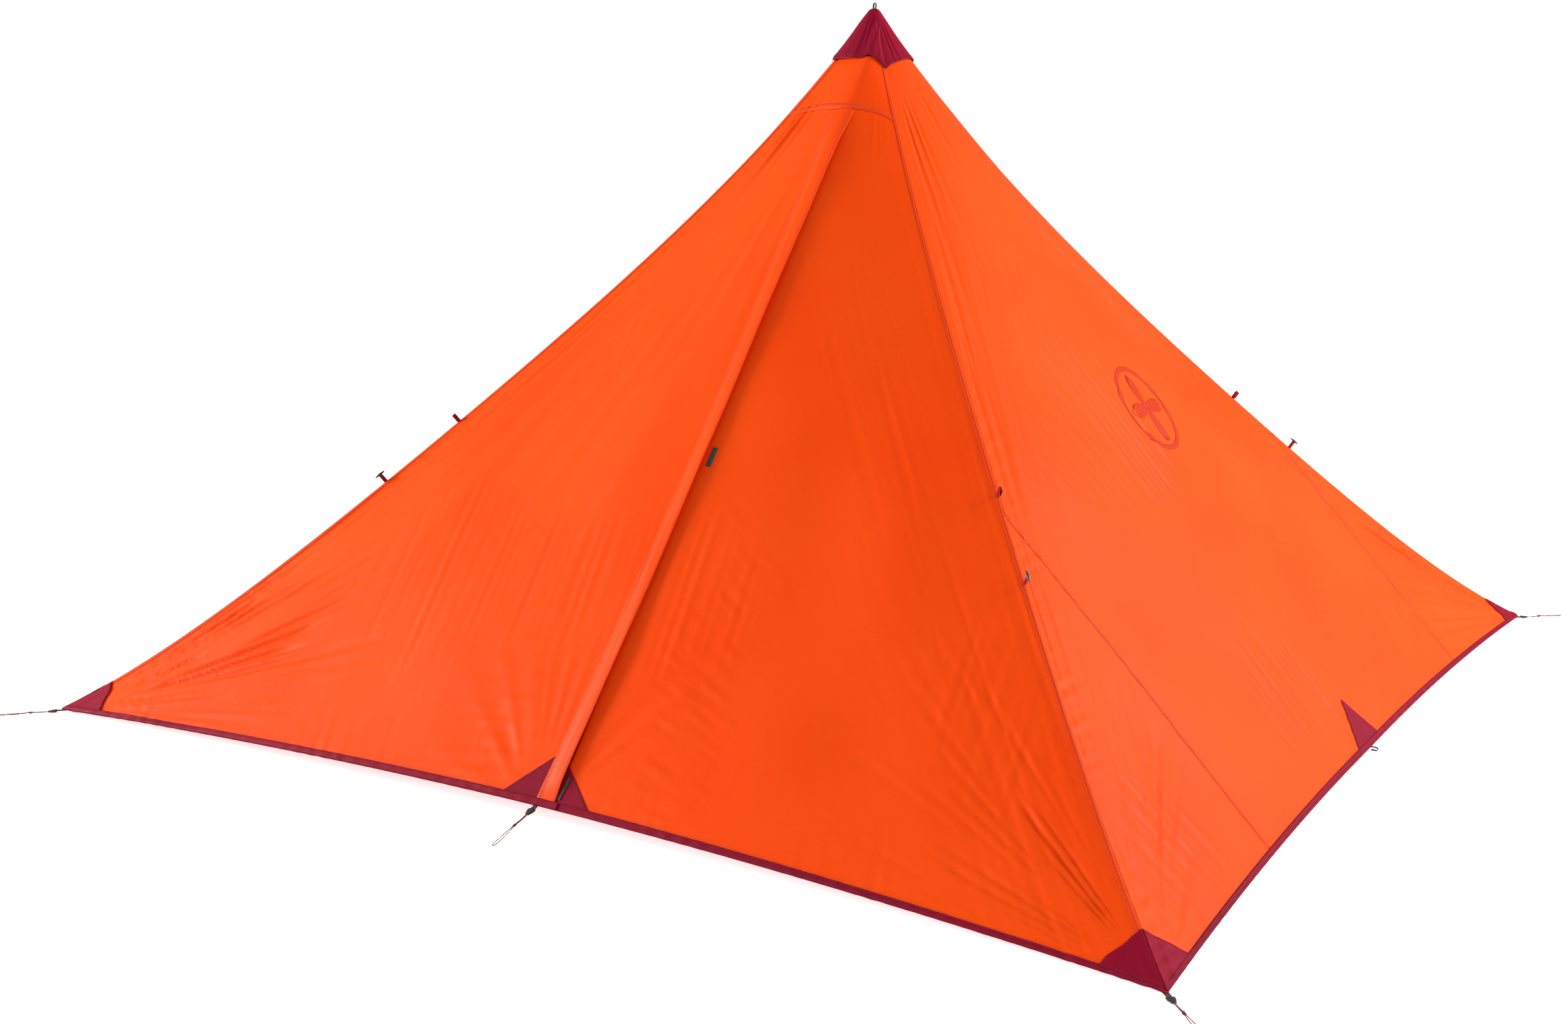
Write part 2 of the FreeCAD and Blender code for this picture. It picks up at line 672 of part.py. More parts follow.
def knot(frame, sway):
    span = LOOP_ROUTE[10][0] - LOOP_ROUTE[0][0]
    aside = sway * ((KNOT_AT[0] - LOOP_ROUTE[0][0]) / span) ** 2
    centre = frame.put(KNOT_AT[0], aside, KNOT_AT[2])
    half_length = KNOT_LENGTH / 2
    half_width = KNOT_WIDTH / 2
    waist = half_width * 0.6
    profile = [(-half_length, 0), (-half_length, waist), (0, half_width), (half_length, waist), (half_length, 0)]
    corners = [centre + frame.d * d + frame.w * w for d, w in profile]
    bulge = Part.Arc(corners[1], corners[2], corners[3]).toShape()
    sides = [Part.makeLine(corners[0], corners[1]), bulge, Part.makeLine(corners[3], corners[4])]
    outline = Part.Wire(sides + [Part.makeLine(corners[4], corners[0])])
    return Part.Face(outline).revolve(centre, frame.d, 360)


corner_ground = V(half, -half, CORNER_LIFT - CLOTH - WEB_DROP)
diagonal = V(1, -1, 0).normalize()
root_u = 1 - WEB_ROOT / (half * math.sqrt(2))
corner_inner = V(half * root_u, -half * root_u, corner_ground.z)
corner_strap, corner_frame = strap(corner_ground, diagonal, corner_inner, CORNER_SLOPE)
corner_tensioner = tensioner(corner_frame)

stake_point = DOOR_WALL.point(0.0, DOOR_WALL.hem_out(0.0))
under = UP * (CLOTH + WEB_DROP)
stake_inner = DOOR_WALL.point(0.0, DOOR_WALL.hem_out(0.0) - WEB_ROOT) - under
foot_strap, foot_frame = strap(stake_point - under, V(0, -1, 0), stake_inner, DOOR_SLOPE)
foot_tensioner = tensioner(foot_frame)

corner_names = ("front_right", "back_right", "back_left", "front_left")
corner_sways = (2.0, -1.5, 1.0, -2.5)
straps = []
tensioners = []
knots = []
for quarter, (name, sway) in enumerate(zip(corner_names, corner_sways)):
    straps.append(turn(corner_strap, quarter))
    tensioners.append(turn(corner_tensioner, quarter))
    knots.append(turn(knot(corner_frame, sway), quarter))
    save(name + "_cord", turn(loop_cord(name + "_cord", corner_frame, sway), quarter))
save("corner_straps", *straps)
save("corner_tensioners", *tensioners)
save("corner_knots", *knots)

# Stake loops of tape under the middle patch of each plain wall.
wall_stake = PLAIN_WALL.point(0.0, middle) - under - UP * (STAKE_LOOP_GAP / 2 + LOOP_TAPE)
wall_frame = Frame(wall_stake, V(0, -1, 0), V(1, 0, 0))
wall_loop = tape_loop(wall_frame, STAKE_LOOP_REACH, STAKE_LOOP_GAP, LOOP_WIDTH, LOOP_TAPE)
save("wall_stake_loops", turn(wall_loop, 1), turn(wall_loop, 3))

# Both doors, front and back.
fixed_left, door_left = door_half(-1)
fixed_right, door_right = door_half(1)
fold_left = Fold(-1)
fold_right = Fold(1)
tape_left = (-half, fold_left.foot[0] - FOLD_GAP * 1.2)
tape_right = (fold_right.foot[0] + FOLD_GAP * 1.2, half)
door_tape_left = (fold_left.foot[0] + FOLD_GAP * 1.2, ZIP_OFFSET - ZIP_GAP)
door_tape_right = (ZIP_OFFSET + ZIP_GAP, fold_right.foot[0] - FOLD_GAP * 1.2)
door_ends = [corner_patch(door_trim, DOOR_WALL, side) for side in (-1, 1)]
door_hems = [hem_tape(DOOR_WALL, *tape_left), hem_tape(DOOR_WALL, *tape_right)]
pieces = {
    "yoke": [yoke],
    "left_panel": [fixed_left],
    "right_panel": [fixed_right],
    "left_door": [door_left],
    "right_door": [door_right],
    "left_door_trim": [hem_tape(DOOR_WALL, *door_tape_left), left_foot_patch],
    "right_door_trim": [hem_tape(DOOR_WALL, *door_tape_right), right_foot_patch, hook_strip, hook_tab],
    "left_zip": [zip_half(-1)],
    "right_zip": [zip_half(1)],
    "zip_slider": [slider],
    "zip_puller": [puller],
    "storm_flap": [flap, flap_seam],
    "foot_strap": [foot_strap],
    "foot_tensioner": [foot_tensioner],
    "foot_knot": [knot(foot_frame, 1.0)],
    "foot_cord": [loop_cord("foot_cord", foot_frame, 1.0)],
}
for name, quarter in (("front", 0), ("back", 2)):
    for piece, solids in pieces.items():
        save("%s_%s" % (name, piece), *[turn(solid, quarter) for solid in solids])
save("panel_hems", *[turn(tape, quarter) for tape in door_hems for quarter in (0, 2)])
corner_patches = [turn(end, quarter) for end in door_ends for quarter in (0, 2)]
corner_patches += [turn(end, quarter) for end in plain_ends for quarter in (1, 3)]
save("corner_patches", *corner_patches)


# Ridge loops and toggles, which hold a folded door back.
def ridge_frame(u):
    """On the front right ridge: d straight out of the ridge and w down along it."""
    step = 0.002
    here = V(half * u, -half * u, ridge_height(u))
    ahead = V(half * (u + step), -half * (u + step), ridge_height(u + step))
    down_ridge = (ahead - here).normalize()
    level = V(1, 1, 0).normalize()
    outward = level.cross(down_ridge)
    if outward.z < 0:
        outward = outward * -1
    return Frame(here + outward * LOOP_CLEAR, outward, down_ridge)


loop = tape_loop(ridge_frame(LOOP_SHARE), LOOP_REACH, LOOP_GAP, LOOP_WIDTH, LOOP_TAPE)
toggle_frame = ridge_frame(TOGGLE_SHARE)
bar_at = TOGGLE_REACH - TOGGLE_RADIUS
toggle_tape = toggle_frame.block((0, bar_at), (-LOOP_WIDTH / 2, LOOP_WIDTH / 2), (-LOOP_TAPE, LOOP_TAPE))
toggle_bar = toggle_frame.pin(TOGGLE_RADIUS, bar_at, (-TOGGLE_LENGTH / 2, TOGGLE_LENGTH / 2), 0)
save("ridge_loops", *[turn(loop, quarter) for quarter in range(4)])
save("toggle_tapes", *[turn(toggle_tape.cut(toggle_bar), quarter) for quarter in range(4)])
save("toggles", *[turn(toggle_bar, quarter) for quarter in range(4)])

# Pole: a lower tube in a rubber foot, and an upper tube that slides in it and is clamped.
foot = Part.makeCylinder(FOOT_RADIUS, FOOT_RIM).fuse(Part.makeCylinder(FOOT_NECK, FOOT_HEIGHT))
foot = foot.cut(Part.makeCylinder(LOWER_RADIUS, FOOT_HEIGHT, V(0, 0, LOWER_START))).removeSplitter()
save("pole_foot", foot)

inner = LOWER_RADIUS - TUBE_WALL
lower = Part.makeCylinder(LOWER_RADIUS, LOWER_TOP - LOWER_START, V(0, 0, LOWER_START))
lower = lower.cut(Part.makeCylinder(inner, LOWER_TOP - LOWER_START, V(0, 0, LOWER_START)))
save("pole_lower_tube", lower)

upper = inner - UPPER_CLEAR
tip_top = cup_roof - CUP_CLEAR
tip_foot = tip_top - TIP_HEIGHT
tube_length = tip_foot - UPPER_FOOT
upper_tube = Part.makeCylinder(upper, tube_length, V(0, 0, UPPER_FOOT))
upper_tube = upper_tube.cut(Part.makeCylinder(upper - TUBE_WALL, tube_length, V(0, 0, UPPER_FOOT)))
save("pole_upper_tube", upper_tube)
tip = Part.makeCylinder(TIP_RADIUS, TIP_HEIGHT, V(0, 0, tip_foot))
crown = [edge for edge in tip.Edges if edge.BoundBox.ZMin > tip_top - 0.01]
save("pole_tip", tip.makeFillet(TIP_RADIUS / 2, crown))

ear_start = LEVER_HALF + EAR_CLEAR
ear_end = ear_start + EAR_THICK
pole_frame = Frame(V(0, 0, 0), V(1, 0, 0), V(0, 1, 0))
collar = Part.makeCylinder(COLLAR_RADIUS, COLLAR_TOP - COLLAR_START, V(0, 0, COLLAR_START))
for side in (-1, 1):
    ear = sorted((side * ear_start, side * ear_end))
    tall = (PIVOT_Z - LEVER_EYE - 2, PIVOT_Z + LEVER_EYE + 2)
    collar = collar.fuse(pole_frame.block((FOOT_NECK / 2, PIVOT_X + LEVER_EYE), ear, tall))
collar = collar.cut(Part.makeCylinder(LOWER_RADIUS, LOWER_TOP - COLLAR_START, V(0, 0, COLLAR_START)))
collar = collar.cut(Part.makeCylinder(upper + COLLAR_LIP, 100, V(0, 0, COLLAR_START)))
collar = collar.cut(pole_frame.pin(LEVER_PIN, PIVOT_X, (-30, 30), PIVOT_Z)).removeSplitter()
save("pole_clamp", collar)
save("pole_lever_pin", pole_frame.pin(LEVER_PIN, PIVOT_X, (-ear_end, ear_end), PIVOT_Z))
lever = pole_frame.pin(LEVER_EYE, PIVOT_X, (-LEVER_HALF, LEVER_HALF), PIVOT_Z)
arm_x = PIVOT_X + LEVER_EYE - LEVER_THICK
arm_z = (PIVOT_Z - LEVER_LENGTH, PIVOT_Z)
lever = lever.fuse(pole_frame.block((arm_x, arm_x + LEVER_THICK), (-LEVER_HALF, LEVER_HALF), arm_z))
lever = lever.cut(pole_frame.pin(LEVER_PIN + LEVER_CLEAR, PIVOT_X, (-30, 30), PIVOT_Z)).removeSplitter()
save("pole_lever", lever)

# The axes that the doors, slider and puller move on.
for name, fold in (("left fold", fold_left), ("right fold", fold_right)):
    for end in (fold.top, fold.foot):
        print(name, DOOR_WALL.point(*end) + UP * FOLD_RAISE)
print("zip from", zip_top, "to", zip_foot, "travel", teeth_end - SLIDER_LENGTH - ZIP_HEAD)
print("puller pin", puller_frame.origin, "lever pin", PIVOT_X, PIVOT_Z)
print("upper tube may drop", UPPER_FOOT - LOWER_START)
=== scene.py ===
import math

import bmesh
import bpy
import numpy as np
from mathutils import Matrix, Vector


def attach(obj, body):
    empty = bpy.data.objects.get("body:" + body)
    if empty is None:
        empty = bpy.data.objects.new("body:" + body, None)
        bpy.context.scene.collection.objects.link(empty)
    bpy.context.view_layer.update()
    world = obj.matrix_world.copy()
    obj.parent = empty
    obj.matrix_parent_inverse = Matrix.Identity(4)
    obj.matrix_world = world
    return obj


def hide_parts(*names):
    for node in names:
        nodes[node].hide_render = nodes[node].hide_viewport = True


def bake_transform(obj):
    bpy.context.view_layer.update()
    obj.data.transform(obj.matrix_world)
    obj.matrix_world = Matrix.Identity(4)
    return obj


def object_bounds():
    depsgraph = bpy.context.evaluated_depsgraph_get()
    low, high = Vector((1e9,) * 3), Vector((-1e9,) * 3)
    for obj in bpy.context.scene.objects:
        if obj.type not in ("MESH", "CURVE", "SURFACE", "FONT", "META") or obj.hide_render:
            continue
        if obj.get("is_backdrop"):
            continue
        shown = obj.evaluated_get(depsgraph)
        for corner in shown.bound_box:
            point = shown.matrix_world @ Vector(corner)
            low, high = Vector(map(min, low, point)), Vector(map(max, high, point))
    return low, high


# A square pyramid shelter of thin coated nylon on one centre pole, with a zipped door in the
# front and the same door turned half a turn in the back. Metres, apex over the origin, +Z up.
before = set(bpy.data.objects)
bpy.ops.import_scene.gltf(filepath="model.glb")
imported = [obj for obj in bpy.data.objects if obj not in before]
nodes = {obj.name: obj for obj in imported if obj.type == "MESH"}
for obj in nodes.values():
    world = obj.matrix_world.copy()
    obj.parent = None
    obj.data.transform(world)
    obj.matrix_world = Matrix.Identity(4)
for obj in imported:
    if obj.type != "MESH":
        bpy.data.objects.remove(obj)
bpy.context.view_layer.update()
scene = bpy.context.scene
scene.view_settings.view_transform = "Standard"

# ---------------------------------------------------------------------------------------------
# Camera: a standing viewer in front of the shelter and a little to its right.
# ---------------------------------------------------------------------------------------------
CAMERA_AT = Vector((2.473, -4.412, 1.574))
CAMERA_LOOK = Vector((-0.4767, 0.8499, -0.2247)).normalized()
CAMERA_UP = Vector((-0.1269, 0.1864, 0.9742)).normalized()
camera_data = bpy.data.cameras.new("camera")
camera_data.sensor_width = 36.0
camera_data.lens = 45.97
camera_data.shift_x = -0.051
camera_data.shift_y = -0.0014
camera = bpy.data.objects.new("camera", camera_data)
scene.collection.objects.link(camera)
camera_right = CAMERA_LOOK.cross(CAMERA_UP).normalized()
camera_axes = Matrix((camera_right, camera_right.cross(CAMERA_LOOK), -CAMERA_LOOK)).transposed()
camera.matrix_world = Matrix.Translation(CAMERA_AT) @ camera_axes.to_4x4()
scene.camera = camera


# ---------------------------------------------------------------------------------------------
# Floor and light: a white studio floor, a large soft box on the left in front and another on
# the right behind, with a white room around them.
# ---------------------------------------------------------------------------------------------
def to_linear(code):
    """The linear (r, g, b, 1) of an sRGB hex colour."""
    values = np.array([int(code[i : i + 2], 16) for i in (1, 3, 5)]) / 255
    low = values / 12.92
    high = ((values + 0.055) / 1.055) ** 2.4
    return (*np.where(values <= 0.04045, low, high).tolist(), 1.0)


def add_node(tree, kind, settings=None, links=None):
    """Adds a node, sets its inputs and properties, and links other nodes' outputs into it."""
    node = tree.nodes.new(kind)
    for key, value in (settings or {}).items():
        if isinstance(key, int) or key in node.inputs:
            node.inputs[key].default_value = value
        else:
            setattr(node, key, value)
    for key, source in (links or {}).items():
        tree.links.new(source, node.inputs[key])
    return node


def new_material(name):
    """(material, tree) with nothing but an output."""
    material = bpy.data.materials.new(name)
    material.use_nodes = True
    material.node_tree.nodes.clear()
    return material, material.node_tree


def noise(tree, vector, scale, detail, more=None):
    """A noise texture over a vector."""
    settings = {"Scale": scale, "Detail": detail, **(more or {})}
    return add_node(tree, "ShaderNodeTexNoise", settings, {"Vector": vector}).outputs[0]


def two_tone(tree, share, low, high):
    """One colour where `share` is 0 and the other where it is 1."""
    settings = {"data_type": "RGBA", 6: low, 7: high}
    return add_node(tree, "ShaderNodeMix", settings, {0: share}).outputs[2]


def relief(tree, height, strength, distance):
    """The normal of a surface with that height."""
    settings = {"Strength": strength, "Distance": distance}
    return add_node(tree, "ShaderNodeBump", settings, {"Height": height}).outputs[0]


def principled(tree, settings, links=None):
    """A principled shader that the material ends in."""
    shader = add_node(tree, "ShaderNodeBsdfPrincipled", settings, links)
    add_node(tree, "ShaderNodeOutputMaterial", links={"Surface": shader.outputs[0]})


FLOOR_GLOW = 0.70  # what the camera sees of the floor is lit up to white
FLOOR_HALF = 40.0
FLOOR_DROP = 0.0005  # keeps the floor clear of what lies on it
studio_floor, tree = new_material("studio_floor")
seen = add_node(tree, "ShaderNodeLightPath").outputs["Is Camera Ray"]
glow = add_node(tree, "ShaderNodeMath", {"operation": "MULTIPLY", 1: FLOOR_GLOW}, {0: seen})
principled(
    tree,
    {"Base Color": to_linear("#FBFAF8"), "Roughness": 0.9, "Emission Color": (1, 1, 1, 1)},
    {"Emission Strength": glow.outputs[0]},
)
floor_mesh = bpy.data.meshes.new("floor")
floor_corners = [(-1, -1), (1, -1), (1, 1), (-1, 1)]
floor_mesh.from_pydata(
    [(x * FLOOR_HALF, y * FLOOR_HALF, -FLOOR_DROP) for x, y in floor_corners], [], [(0, 1, 2, 3)]
)
floor_mesh.materials.append(studio_floor)
floor = bpy.data.objects.new("floor", floor_mesh)
scene.collection.objects.link(floor)
floor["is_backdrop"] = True

world = bpy.data.worlds.new("white_room")
scene.world = world
world.use_nodes = True
tree = world.node_tree
tree.nodes.clear()
seen = add_node(tree, "ShaderNodeLightPath")
ROOM_LIGHT = 0.80
ROOM_IN_GLOSS = 0.22  # the room that a glossy surface mirrors is mostly dark, beyond the boxes
ROOM_LOW, ROOM_HIGH = 1.46, 0.55  # the room is brighter at the horizon than overhead
dimmed = add_node(
    tree,
    "ShaderNodeMath",
    {"operation": "MULTIPLY_ADD", 1: ROOM_IN_GLOSS - ROOM_LIGHT, 2: ROOM_LIGHT},
    {0: seen.outputs["Is Glossy Ray"]},
)
toward = add_node(tree, "ShaderNodeTexCoord")
heading = add_node(tree, "ShaderNodeSeparateXYZ", links={"Vector": toward.outputs["Generated"]})
fade = add_node(
    tree, "ShaderNodeMapRange", {"To Min": ROOM_LOW, "To Max": ROOM_HIGH}, {"Value": heading.outputs["Z"]}
)
faded = add_node(
    tree, "ShaderNodeMath", {"operation": "MULTIPLY"}, {0: dimmed.outputs[0], 1: fade.outputs[0]}
)
strength = add_node(
    tree,
    "ShaderNodeMix",
    {"data_type": "FLOAT", 3: 1.0},
    {0: seen.outputs["Is Camera Ray"], 2: faded.outputs[0]},
)
room = add_node(tree, "ShaderNodeBackground", {0: (1, 1, 1, 1)}, {1: strength.outputs[0]})
add_node(tree, "ShaderNodeOutputWorld", links={"Surface": room.outputs[0]})


def soft_box(name, place, aim, size, watts):
    data = bpy.data.lights.new(name, "AREA")
    data.shape = "RECTANGLE"
    data.size, data.size_y = size
    data.energy = watts
    lamp = bpy.data.objects.new(name, data)
    scene.collection.objects.link(lamp)
    lamp.location = place
    lamp.rotation_euler = (Vector(aim) - Vector(place)).to_track_quat("-Z", "Y").to_euler()


soft_box("left_box", (-6.3, -3.2, 1.7), (-0.4, -0.6, 0.8), (2.6, 2.2), 800)
soft_box("right_box", (5.4, 2.6, 3.8), (0.7, 0.2, 0.8), (2.6, 2.2), 620)


# ---------------------------------------------------------------------------------------------
# The shape of a wall. Each wall is a height field over the ground: its two ridges sag like a
# hanging chain, and the line from the apex to the stake at the middle of its hem stays straight.
# ---------------------------------------------------------------------------------------------
HALF = 1.395  # half the side
HEIGHT = 1.665
CORNER_LIFT = 0.007
HEM_RISE = 0.006
HEM_SCALLOP = 0.010


def ridge_drop(u):
    """Sag of a ridge at share u of the way out: u (1 - u) times a slowly changing factor."""
    ends = 1 - 6 * u * (1 - u)
    return u * (1 - u) * (0.375 + 0.054 * (1 - 2 * u) + 0.12 * ends)


def soft(t, ease):
    """|t| with its corner at zero rounded off, still 0 at 0 and 1 at 1."""
    return (np.sqrt(t * t + ease * ease) - ease) / (math.sqrt(1 + ease * ease) - ease)


def smooth(x):
    """0 below 0, 1 above 1 and 3x^2 - 2x^3 between."""
    x = np.clip(x, 0, 1)
    return x * x * (3 - 2 * x)


def ripple(x, seed):
    """An irregular wave of x, about -1 to 1: six sines whose lengths and starts are drawn once."""
    draw = np.random.default_rng(seed)
    total = 0.0
    for _ in range(6):
        total = total + np.sin(draw.uniform(0.55, 1.6) * x + draw.uniform(0, 2 * math.pi))
    return total / 2.4


def creases(x, seed):
    """Folds with round crests and narrow valleys, about -1 to 1."""
    return 1 - 2 * np.sqrt(ripple(x, seed) ** 2 + 0.01)


class Wall:
    """A wall seen from outside: `along` runs to the right and `out` away from the pole."""

    def __init__(self, quarter, line, crease, lift, inset):
        self.quarter = quarter
        self.line = line
        self.crease = crease
        self.lift = lift
        self.inset = inset

    def hem(self, s):
        """(inset, lift) of the hem at share s of the half side."""
        a = soft(s, 0.05)
        bow = 4 * a * (1 - a)
        inset = self.inset * (1 - a) + HEM_SCALLOP * bow
        lift = CORNER_LIFT + (self.lift - CORNER_LIFT) * (1 - a) + HEM_RISE * bow
        return inset, lift

    def hem_out(self, along):
        return HALF - self.hem(along / HALF)[0]

    def place(self, t, u):
        """(along, out) at share u out and share t from the tension line to a ridge."""
        along = self.line + t * (u * HALF - np.sign(t) * self.line)
        s = np.clip(along / (u * HALF), -1, 1)
        return along, u * (HALF - self.hem(s)[0])

    def bare(self, along, out):
        """The taut surface over (along, out), with the shares (t, u) there."""
        u = out / HALF
        for _ in range(5):
            s = np.clip(along / (u * HALF), -1, 1)
            u = out / (HALF - self.hem(s)[0])
        side = u * HALF - np.where(along > self.line, self.line, -self.line)
        t = np.clip(np.abs(along - self.line) / side, 0, 1)
        lift = self.hem(s)[1]
        z = HEIGHT * (1 - u - soft(t, self.crease) * ridge_drop(u)) + lift * u
        return np.stack((s * u * HALF, -out, z), -1), t, u

    def folds(self, along, out, t, u):
        """How far the cloth's own folds stand off the taut surface, outwards. Each kind is a wave
        across its folds, times an envelope that says where they are, times a slow wave along them,
        which breaks them into streaks."""
        seed = 100 * self.quarter
        right = along > self.line
        side = np.where(right, 1.0, 0.0)
        to_ridge = np.maximum(out - np.abs(along), 0) / math.sqrt(2)
        down_ridge = (out + np.abs(along)) / math.sqrt(2)
        to_hem = np.maximum(self.hem_out(along) - out, 0)
        from_line = np.abs(along - self.line)
        keep = 1 - np.exp(-to_ridge / 0.012)
        door = self.crease < 0.2

        def broken(x, y, part):
            """0 to 1: streaks that come and go along y, each at its own place in x."""
            return smooth(0.55 + 0.9 * ripple(y + 3.0 * ripple(x * 0.35, seed + part), seed + part + 1))

        # gathers that hang from the cone and fade down the wall
        wave = creases(t * 21 + side * 40, seed + 1) + 0.45 * ripple(t * 74 + side * 40, seed + 30)
        strong = np.where(right, 0.35 if door else 0.85, 1.8 if door else 0.95)
        reach = np.where(right, 0.16, 0.30 if door else 0.18)
        fade = smooth((u - 0.075) / 0.05) * np.exp(-np.maximum(u - 0.13, 0) / reach) * smooth(u * 9 - 0.5)
        height = 0.0011 * wave * fade * strong * broken(t * 17, u * 13, 2)
        # long streaks that fan out from a corner
        far = HALF - np.abs(along)
        up = np.maximum(HALF - out, 0)
        reach = np.hypot(far, up)
        bearing = np.arctan2(up, far + 1e-6)
        strong = np.where(right, 0.55 if door else 1.3, 1.1 if door else 0.45)
        wave = creases(bearing * 46 + side * 60 + 2 * reach, seed + 4)
        place = np.exp(-(((bearing - 0.42) / 0.30) ** 2)) * smooth((reach - 0.10) / 0.12)
        place = place * np.exp(-((np.maximum(reach - 0.42, 0) / 0.30) ** 2)) * strong
        height = height + 0.0048 * wave * place * broken(bearing * 46, reach * 9 + side * 5, 5)
        # short level wrinkles stacked beside the tension line, near the hem
        wave = ripple(bearing * 330 + side * 20, seed + 8)
        place = np.exp(-(((from_line - 0.22) / 0.11) ** 2)) * smooth(to_hem / 0.04)
        place = place * np.exp(-((to_hem / 0.42) ** 2))
        height = height + 0.0014 * wave * place * broken(bearing * 200, from_line * 34 + out * 6, 9)
        # folds that fan out from the stake in the middle of the hem
        reach = np.hypot(along, to_hem + 0.02)
        wave = creases(np.arctan2(to_hem + 0.02, along) * 15, seed + 12)
        place = smooth((reach - 0.09) / 0.08) * np.exp(-((reach / 0.26) ** 2))
        height = height + 0.0011 * wave * place
        # puckers slanted to the ridge seam, and long creases beside it
        wave = ripple((down_ridge + 0.8 * to_ridge) * 210 + side * 50, seed + 13)
        place = np.exp(-to_ridge / 0.035) * smooth(u * 3 - 0.4)
        height = height + 0.0019 * wave * place * broken(down_ridge * 20, down_ridge * 14, 14)
        wave = creases(to_ridge * 95 + down_ridge * 3 + side * 9, seed + 16)
        place = np.exp(-to_ridge / 0.10) * smooth(u * 4 - 0.6)
        height = height + 0.0026 * wave * place * broken(to_ridge * 95, down_ridge * 8 + side * 7, 17)
        # short puckers above the hem tape
        wave = ripple(along * 190 + to_hem * 60, seed + 20)
        height = height + 0.0005 * wave * np.exp(-to_hem / 0.05) * smooth(ripple(along * 9, seed + 21))
        # fine upright streaks in patches over the middle of a plain wall, fewer on a door wall
        wave = ripple(along * 185 - out * 22, seed + 22)
        patch = smooth(ripple(along * 6 + 2, seed + 23) + ripple(out * 9, seed + 24))
        place = smooth(u * 3 - 0.9) * smooth(to_ridge / 0.1) * smooth(to_hem / 0.1)
        height = height + (0.0004 if door else 0.0016) * wave * patch * place
        # slack in the middle of each side
        slack = ripple(along * 13 - out * 4, seed + 25) * ripple(out * 7 + 3, seed + 26)
        middle = smooth((1 - t) * 3) * smooth(t * 4) * smooth(u * 3 - 0.6) * smooth(to_hem / 0.2)
        height = height + 0.0022 * slack * middle
        return height * keep

    def taut(self, along, out, rise):
        """The place `rise` off the taut surface over (along, out), turned to its wall."""
        along, out = np.broadcast_arrays(np.asarray(along, float), np.asarray(out, float))
        step = 0.0005
        across = self.bare(along + step, out)[0] - self.bare(along - step, out)[0]
        down = self.bare(along, out + step)[0] - self.bare(along, out - step)[0]
        normal = np.cross(down, across)
        normal = normal / np.linalg.norm(normal, axis=-1, keepdims=True)
        lifted = self.bare(along, out)[0] + normal * np.broadcast_to(rise, along.shape)[..., None]
        return turned(lifted, self.quarter)

    def skin(self, along, out, rise=0.0):
        """The same, with the cloth's own folds."""
        along, out = np.broadcast_arrays(np.asarray(along, float), np.asarray(out, float))
        _, t, u = self.bare(along, out)
        return self.taut(along, out, self.folds(along, out, t, u) + rise)

    def level(self, t, z):
        """The share u at which the wall comes down to height z, by halving."""
        low = np.full_like(t, 0.01)
        high = np.ones_like(t)
        for _ in range(40):
            middle = (low + high) / 2
            along, out = self.place(t, middle)
            above = self.bare(along, out)[0][..., 2] > z
            low = np.where(above, middle, low)
            high = np.where(above, high, middle)
        return low


def turned(points, quarter):
    """Points turned about Z by so many quarter turns."""
    x, y, z = np.moveaxis(points, -1, 0)
    for _ in range(quarter):
        x, y = -y, x
    return np.stack((x, y, z), -1)


FRONT, RIGHT, BACK, LEFT = range(4)
ZIP_LINE = 0.036
door_wall = [Wall(quarter, ZIP_LINE, 0.12, 0.045, 0.036) for quarter in (FRONT, BACK)]
plain_wall = [Wall(quarter, 0.0, 0.35, 0.025, 0.039) for quarter in (RIGHT, LEFT)]


# ---------------------------------------------------------------------------------------------
# Shell cloth: thin nylon with a silicone and urethane coat, woven with a ripstop grid. It has
# a soft gloss, shows the light behind it, and turns redder where it is seen through.
# ---------------------------------------------------------------------------------------------
RIPSTOP_MM = 6.0  # grid of thicker threads, 5 to 6 mm apart
SHELL_THICK = 0.0008


